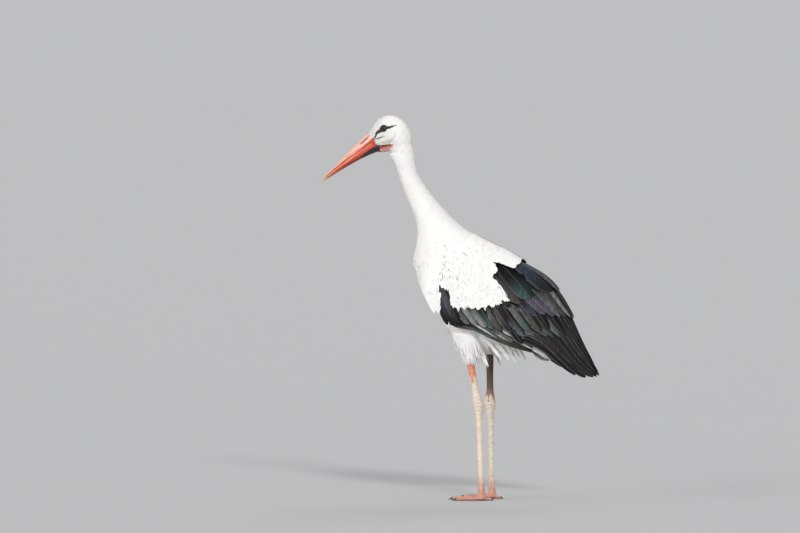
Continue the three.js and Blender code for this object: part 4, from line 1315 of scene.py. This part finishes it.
def layPlumes(coat):  # long loose pointed plumes behind the thighs
    stations, _, _ = formOf("lance")
    count = plumes["each"]
    for side in leftRight.values():
        for i, (rootX, rootZ, tipX, tipZ, wide, out) in enumerate(plumes["vent"]):
            start = np.array([rootX, side * out, rootZ]) + chance.normal(0, 1, (count, 3)) * [wide, 2, wide]
            end = np.array([tipX, side * (out - 2), tipZ]) + chance.normal(0, 1, (count, 3))
            start = start + (end - start) * draw((0, 0.25), count)[:, None]
            end = end + (start - end) * draw((0, 0.3), count)[:, None]
            path = start[:, None] + (end - start)[:, None] * stations[:, None]
            path[..., 2] += (4 * stations * (1 - stations))[None] * plumes["arch"]
            normal = unit(np.array([0.0, side, 0.15]) + chance.normal(0, 0.12, (count, 3)))
            patchAt = [0.1 + 0.14 * np.full(count, i), 0.3 + 0.2 * side + 0.01 * np.arange(count)]
            half, lift = draw((1.2, 2.2), count), (0.0, chance.uniform(-0.8, 0.8, count))
            coat.layFlat(path, np.repeat(normal[:, None], len(stations), 1), half, "lance", lift,
                         whiteTint(path[:, 0]), patchAt, camber=0.02, relief=0.4)


def layTrousers(coat, leg):  # the thigh's own ragged hem
    stations, _, _ = formOf("lance")
    count = plumes["trousers"]
    u, angle = draw((1.0, 2.75), count), draw((0, 2 * math.pi), count)
    start, outward, downward, _ = surfaceFrame(thighSurface(leg), u, angle)
    rear = (1 - np.cos(angle)) / 2
    hang = np.stack([chance.uniform(0.0, 0.36, count), -0.12 * np.sin(angle), -np.ones(count)], -1)
    way = unit(downward) * (1 - rear[:, None]) + unit(hang) * rear[:, None]
    length = draw(plumes["trouserLength"], count) * (0.75 + 0.45 * rear)
    room = start[:, 2] - leg["hem"] + 5 + chance.uniform(-5, 3, count) - 14 * rear * chance.random(count)
    length = np.minimum(length, np.maximum(room, 6) * 1.05)  # they end near the hem
    path = (start - outward * 3)[:, None] + unit(way)[:, None] * (length[:, None] * stations)[..., None]
    path = path + outward[:, None] * (2.0 * np.sin(stations * 2.2))[None, :, None]
    path[..., 0] -= (0.12 * length[:, None] * stations * (1 - stations)) * 2
    patchAt = [0.55 + 0.2 * np.sign(leg["y"]) + 0.01 * u, angle / 6.5]
    half, lift = draw((0.8, 1.6), count), (0.0, chance.uniform(-0.5, 0.6, count))
    coat.layFlat(path, np.repeat(outward[:, None], len(stations), 1), half, "lance", lift,
                 whiteTint(path[:, 0], 0.12), patchAt, camber=0.02, relief=0.9)


def makePlumes():
    coat = Coat()
    layPlumes(coat)
    for leg in legs.values():
        layTrousers(coat, leg)
    coat.make("vent_plumes", "white", "white_plumage")


# bill, eyes and lids
nostril = {"above": 8.9, "starts": (145, 151), "ends": (168, 177),
           "cuts": [(1.9, 1.1), (0.6, 2.6)]}  # the depth and half the width of each


def nostrilMask(behind, above, width, starts):
    rows = blend(behind, *starts) * (1 - blend(behind, *nostril["ends"]))
    return bell(above, nostril["above"], width) * rows


def mandible(name, lower, node):
    behind = bill["length"] * np.linspace(0, 1, 90)[:, None] ** 1.15 + 0.05
    behind = np.concatenate([behind, np.linspace(170, 182, 6)[:, None]])
    angles = circle(56)[None]
    share = behind / bill["length"]
    closed = mouthLine(behind)
    culmen = bill["tipHeight"] + bill["culmen"] * share**0.8
    under = -bill["tipHeight"] - bill["underSlope"] * behind - bill["gular"] * np.minimum(share, 1.06) ** 4
    half = bill["tipBreadth"] + bill["breadth"] * share**0.85
    cut = bill["flatFace"]
    c = (2 * (np.maximum(np.cos(angles), cut) - cut)) / (1 - cut) - 1
    outer, flat = (under, closed - bill["mouthGap"]) if lower else (culmen, closed + bill["mouthGap"])
    above = (outer + flat) / 2 + (outer - flat) / 2 * c
    y = half * np.sin(angles)
    rise = np.abs(np.sin(angles))  # the bill's side is a little hollow, its ridge keeled
    y = y * (1 - bill["hollow"] * (1 - rise) * (np.cos(angles) > 0))
    if not lower:
        for depth, width in nostril["cuts"]:
            slot = nostrilMask(behind, above, width, nostril["starts"])
            y = y - np.sign(y) * depth * slot * (rise > 0.3)
        groove = bell(above - closed, 3.4 * share, 0.5 + 0.9 * share) * blend(behind, 40, 90)
        y = y - np.sign(y) * bill["groove"] * groove * (rise > 0.3)
    x, z = billPoint(behind, above)
    piece = tube(name, np.stack([x, y, z], -1))
    points = birdPoints(piece)
    behind, above = billPlace(points)
    if lower:
        patch = blend(strokeDepth(behind, above, bareStrokes["gular"]), -1.5, 1.0)
        shine = blend(strokeDepth(behind, above, bareStrokes["gularShine"]), -1.2, 0.6)
        layers = [(colours["gular"], patch), (billHues["shine"], shine * 0.6)]
    else:
        # the nostril's slit painted nearly black, as shade inside it
        slitShade = nostrilMask(behind, above, 1.5, (143, 150))
        layers = [(billHues["slitShade"], np.clip(slitShade * 1.3, 0, 1) * (np.abs(points[:, 1]) > 5))]
    setColour(piece.data, layered(billColour(points), layers))
    finishPiece(piece, "horn", "bill_horn", node)


def eyeFrame(side):  # an eye's middle, the way it looks and the turn of a primitive that looks the same way
    middle = Vector(toFrame((eye["x"], side * eye["out"], eye["z"])))
    axis = Vector((-math.sin(eye["turn"]), side * math.cos(eye["turn"]), 0))
    return middle, axis, (math.pi / 2, 0, -side * eye["turn"])


def makeEye(name, side):
    middle, axis, turn = eyeFrame(side)
    bpy.ops.mesh.primitive_uv_sphere_add(segments=48, ring_count=32, radius=eye["radius"] * 0.001,
                                         location=middle, rotation=turn)
    ball = newPrimitive("eyeball_" + name)
    points = readVectors(ball.data.vertices, "co")
    offset = (points - np.array(middle)) * 1000
    ahead = offset @ np.array(axis)
    radius = np.linalg.norm(offset - ahead[:, None] * np.array(axis), axis=1)
    lens = np.where(ahead > 0, eye["cornea"] * np.clip(1 - (radius / eye["lens"]) ** 2, 0, 1), 0)
    setPoints(ball.data, points + lens[:, None] * 0.001 * np.array(axis))
    setAttribute(ball.data, "radius", np.where(ahead > 0, radius, 20))  # the back has no iris
    finishPiece(ball, "eye", "eye", "eye_" + name)


lidStyle = {"out": 3.2, "radius": 7.3, "thick": 1.7, "corner": 0.14, "folds": 38}


def makeLids(name, side):
    middle, axis, turn = eyeFrame(side)
    middle = middle + axis * lidStyle["out"] * 0.001
    bpy.ops.mesh.primitive_torus_add(major_radius=lidStyle["radius"] * 0.001, major_segments=72,
                                     minor_radius=lidStyle["thick"] * 0.001, minor_segments=20,
                                     location=middle, rotation=turn)
    lid = newPrimitive("lids_" + name)
    offset = readVectors(lid.data.vertices, "co") - np.array(middle)
    angle = np.arctan2(offset[:, 2], offset[:, 0])
    offset[:, 0] *= 1 + lidStyle["corner"] * np.abs(np.cos(angle)) ** 6  # before and behind the eye
    offset[:, 2] *= np.where(offset[:, 2] > 0, 0.93, 0.96)
    outside = np.abs(offset @ np.array(axis)) < 0.0012
    ripple = 1 + 0.05 * np.sin(angle * lidStyle["folds"]) * outside
    setPoints(lid.data, np.array(middle) + offset * ripple[:, None])
    finishPiece(lid, "lid", "eye")


# legs and feet
legStyle = {
    "voxel": 1.25, "smoothing": 3, "scale": 3.3, "scaleDepth": 0.32, "scute": 4.2, "claw": 0.84,
    "fold": 0.2, "crease": 0.8,  # how deep the skin's folds lie
    "pad": (16.5, 14.5, 6.6), "padBehind": 4, "padHeight": 6, "top": 12, "bottom": 7,
    # the left leg's own flesh colour, and the right, far leg's painted dark as shade
    "fleshAndShade": {"left": (0.80, 0.30, 0.17), "right": (0.10, 0.062, 0.038)},
    "chalkTop": {"left": 291, "right": 246},
    "footFlesh": (0.62, 0.20, 0.13), "ankleFlesh": (0.66, 0.30, 0.24), "chalk": (0.86, 0.81, 0.67),
    "creaseShade": (0.34, 0.22, 0.16),
}


def legRings(leg, top, bottom, count, edges):
    z = np.linspace(top, bottom, count)
    heights, depth, width = np.array(legWidths, float).T
    rx, ry = (smoothCurve(list(zip(heights[::-1], w[::-1])))(z) for w in (depth, width))
    rx, ry = rx - legStyle["scaleDepth"], ry - legStyle["scaleDepth"]
    upper = leg["ankle"] + (leg["knee"] - leg["ankle"]) * (z - ankleHeight) / (heights[0] - ankleHeight)
    lower = leg["foot"] + (leg["ankle"] - leg["foot"]) * (z - toeHeight) / (ankleHeight - toeHeight)
    middle = np.where(z > ankleHeight, upper, lower)
    angles = circle(edges)[None]
    return np.stack([middle[:, None] + rx[:, None] * np.cos(angles), leg["y"] + ry[:, None] * np.sin(angles),
                     z[:, None] + 0 * angles], -1)


def toeWays(leg, turn):  # along a toe and across it
    yaw = -math.radians(turn) * np.sign(leg["y"])
    ahead = np.array([-math.cos(yaw), math.sin(yaw), 0])
    return ahead, np.array([-ahead[1], ahead[0], 0])


def ringsAlong(leg, turn, reach, wide, height, tall, lowest, count):  # rings round a line out from the foot
    ahead, across = toeWays(leg, turn)
    angles = circle(count)[None]
    middle = np.array([leg["foot"], leg["y"], 0]) + ahead * reach[:, None]
    rings = middle[:, None] + across * (wide[:, None] * np.cos(angles))[..., None]
    rings[..., 2] = np.maximum(height[:, None] + tall[:, None] * np.sin(angles), lowest)
    return rings


def toeRings(leg, turn, length, thick):
    s = np.linspace(0, 0.88, 34)
    beads = 0.92 + 0.08 * np.cos(s * math.pi * 2 * 3.05)
    size = thick * (1 - 0.3 * s) * beads * np.sqrt(np.clip((0.9 - s) / 0.06, 0, 1))
    return ringsAlong(leg, turn, length * s, size * 0.9, np.maximum(size * 0.8, 0.6), size * 1.05, 0, 20)


def clawRings(leg, turn, length, thick):
    s = np.linspace(0, 1, 14)
    size = thick * 0.5 * (1 - s) ** 0.75 + 0.25
    height = thick * 0.62 * (1 - s**1.6) + 0.7
    reach = length * partWay((legStyle["claw"], 1.0), s)
    return ringsAlong(leg, turn, reach, size * 0.85, height, size, 0.05, 14)


def scaleRelief(points, leg):  # six-sided scales on the shaft, broad scutes across the toes
    x, y, z = points.T
    around, size = np.arctan2(y - leg["y"], x - leg["ankle"]) * 7.0, legStyle["scale"]
    gaps = []
    for dx in (-1, 0, 1):
        for dz in (-1, 0, 1):
            row = np.round(z / (size * 0.866)) + dz
            column = np.round(around / size - 0.5 * (row % 2)) + dx
            gaps.append(np.hypot(around - (column + 0.5 * (row % 2)) * size, z - row * size * 0.866))
    gaps = np.sort(np.array(gaps), 0)
    relief = blend(gaps[1] - gaps[0], 0.0, 1.1)
    bands = np.zeros(len(points))
    nearest = np.full(len(points), 1e9)
    for _, turn, _, _ in toes:
        ahead, across = toeWays(leg, turn)
        offset = points - [leg["foot"], leg["y"], 0]
        along = offset @ ahead
        side = np.abs(offset @ across) + np.where(along < 0, 50, 0)
        wave = 0.5 + 0.5 * np.cos(along * 2 * math.pi / legStyle["scute"])
        bands = np.where(side < nearest, blend(wave, 0.06, 0.4), bands)
        nearest = np.minimum(nearest, side)
    toePart = 1 - blend(z, 13, 20)
    return relief * (1 - toePart) + bands * toePart * blend(z, 2.5, 6)


def ankleCreases(points):  # the skin's folds round the ankle, deepest behind
    z = points[:, 2]
    wave = 2.2 * np.sin(points[:, 0] * 0.32 + 0.6) + 1.2 * np.sin(points[:, 1] * 0.5)
    found = np.zeros(len(points))
    for height, width in ((247, 0.7), (240, 1.1), (233, 0.8), (225, 1.2), (217, 0.7)):
        found = np.maximum(found, bell(z - height, wave, width))
    return found * (0.45 + 0.55 * blend(points[:, 0], -12, 8))


def chalkAmount(points, name):  # where dried droppings whiten the leg
    z = points[:, 2]
    ragged = 7 * np.sin(points[:, 0] * 0.55) + 5 * np.sin(points[:, 1] * 0.9 + z * 0.12)
    ragged = ragged + 4 * np.sin(z * 0.37)
    below = legStyle["chalkTop"][name] + ragged - z
    return blend(below, -6, 8) * (1 - 0.75 * blend(60 - z + ragged, -10, 40))


def legColour(points, relief, name):
    z = points[:, 2]
    chalk = chalkAmount(points, name)
    spots = np.sin(points[:, 0] * 1.7 + z * 0.6) * np.sin(z * 0.9 + points[:, 1] * 1.3)
    base = layered(plain(legStyle["fleshAndShade"][name], points), [
        (legStyle["footFlesh"], 1 - blend(z, 20, 120)),
        (legStyle["ankleFlesh"], bell(z, ankleHeight, 26) * 0.8),
        (legStyle["chalk"], chalk * (0.80 + 0.16 * spots)),
        # painted shade in the ankle's creases
        (legStyle["creaseShade"], ankleCreases(points) * 0.6),
    ])
    return base * (1 - 0.45 * (1 - relief) * (1 - 0.4 * chalk))[:, None]


def legPieces(name, leg):
    parts = [tube("leg_" + name, legRings(leg, leg["hem"] + legStyle["top"], legStyle["bottom"], 220, 36))]
    parts += [tube("toe", toeRings(leg, *toe[1:])) for toe in toes]
    place = toFrame((leg["foot"] - legStyle["padBehind"], leg["y"], legStyle["padHeight"]))
    bpy.ops.mesh.primitive_uv_sphere_add(segments=24, ring_count=16, radius=1, location=place)
    bpy.context.object.scale = Vector(legStyle["pad"]) * 0.001
    return parts + [newPrimitive("pad")]


def makeLeg(name, leg):
    piece = joinPieces("leg_" + name, legPieces(name, leg))
    applyModifier(piece, "REMESH", mode="VOXEL", voxel_size=legStyle["voxel"] * 0.001)
    applyModifier(piece, "SMOOTH", factor=0.5, iterations=legStyle["smoothing"])
    points = birdPoints(piece)
    relief = scaleRelief(points, leg)
    x, z = points[:, 0], points[:, 2]
    fold = np.sin(z * 1.35 + 0.8 * np.sin(x * 0.3)) * bell(z, ankleHeight, 22)
    depth = relief * legStyle["scaleDepth"] * 1.6 + legStyle["fold"] * fold
    depth = depth - legStyle["crease"] * ankleCreases(points)
    points += readVectors(piece.data.vertices, "normal") * depth[:, None]
    points[:, 2] = np.maximum(points[:, 2], 0.0)
    setPoints(piece.data, toFrame(points))
    setColour(piece.data, legColour(points, relief, name))
    setAttribute(piece.data, "chalk", chalkAmount(points, name))
    piece.data.shade_smooth()
    finishPiece(piece, "leg", "leg_skin", "shank_" + name, "tarsus_" + name, "foot_" + name)
    claws = joinPieces("claws_" + name, [tube("claw", clawRings(leg, *toe[1:])) for toe in toes])
    finishPiece(claws, "claw", "leg_skin")


paints = {
    "white": plumagePaint("white_feathers"), "wing": plumagePaint("black_quills"), "skin": skinPaint(),
    "horn": hornPaint(), "leg": legPaint(), "claw": clawPaint(), "lid": lidPaint(), "eye": eyePaint(),
    "floor": floorPaint(),
}
makeCamera()
makeLights()
makeFloor()
print("studio ready")
skinGuide = SkinGuide(makeSkin())
print("skin made")
for coatKey in coatStyle:
    layCoat(skinGuide, coatKey)
print("small feathers laid")
for wingName, wingSide in leftRight.items():
    wingQuills(wingName, wingSide)
    wingWhites(wingName, wingSide)
    wingDown(wingName, wingSide)
    wingLining(wingName, wingSide)
makeTail()
makePlumes()
print("wings and tail made")
mandible("upper_bill", False, "bill_upper")
mandible("lower_bill", True, "bill_lower")
for eyeName, eyeSide in leftRight.items():
    makeEye(eyeName, eyeSide)
    makeLids(eyeName, eyeSide)
print("bill and eyes made")
for legName, legPlan in legs.items():
    makeLeg(legName, legPlan)
print("legs made")
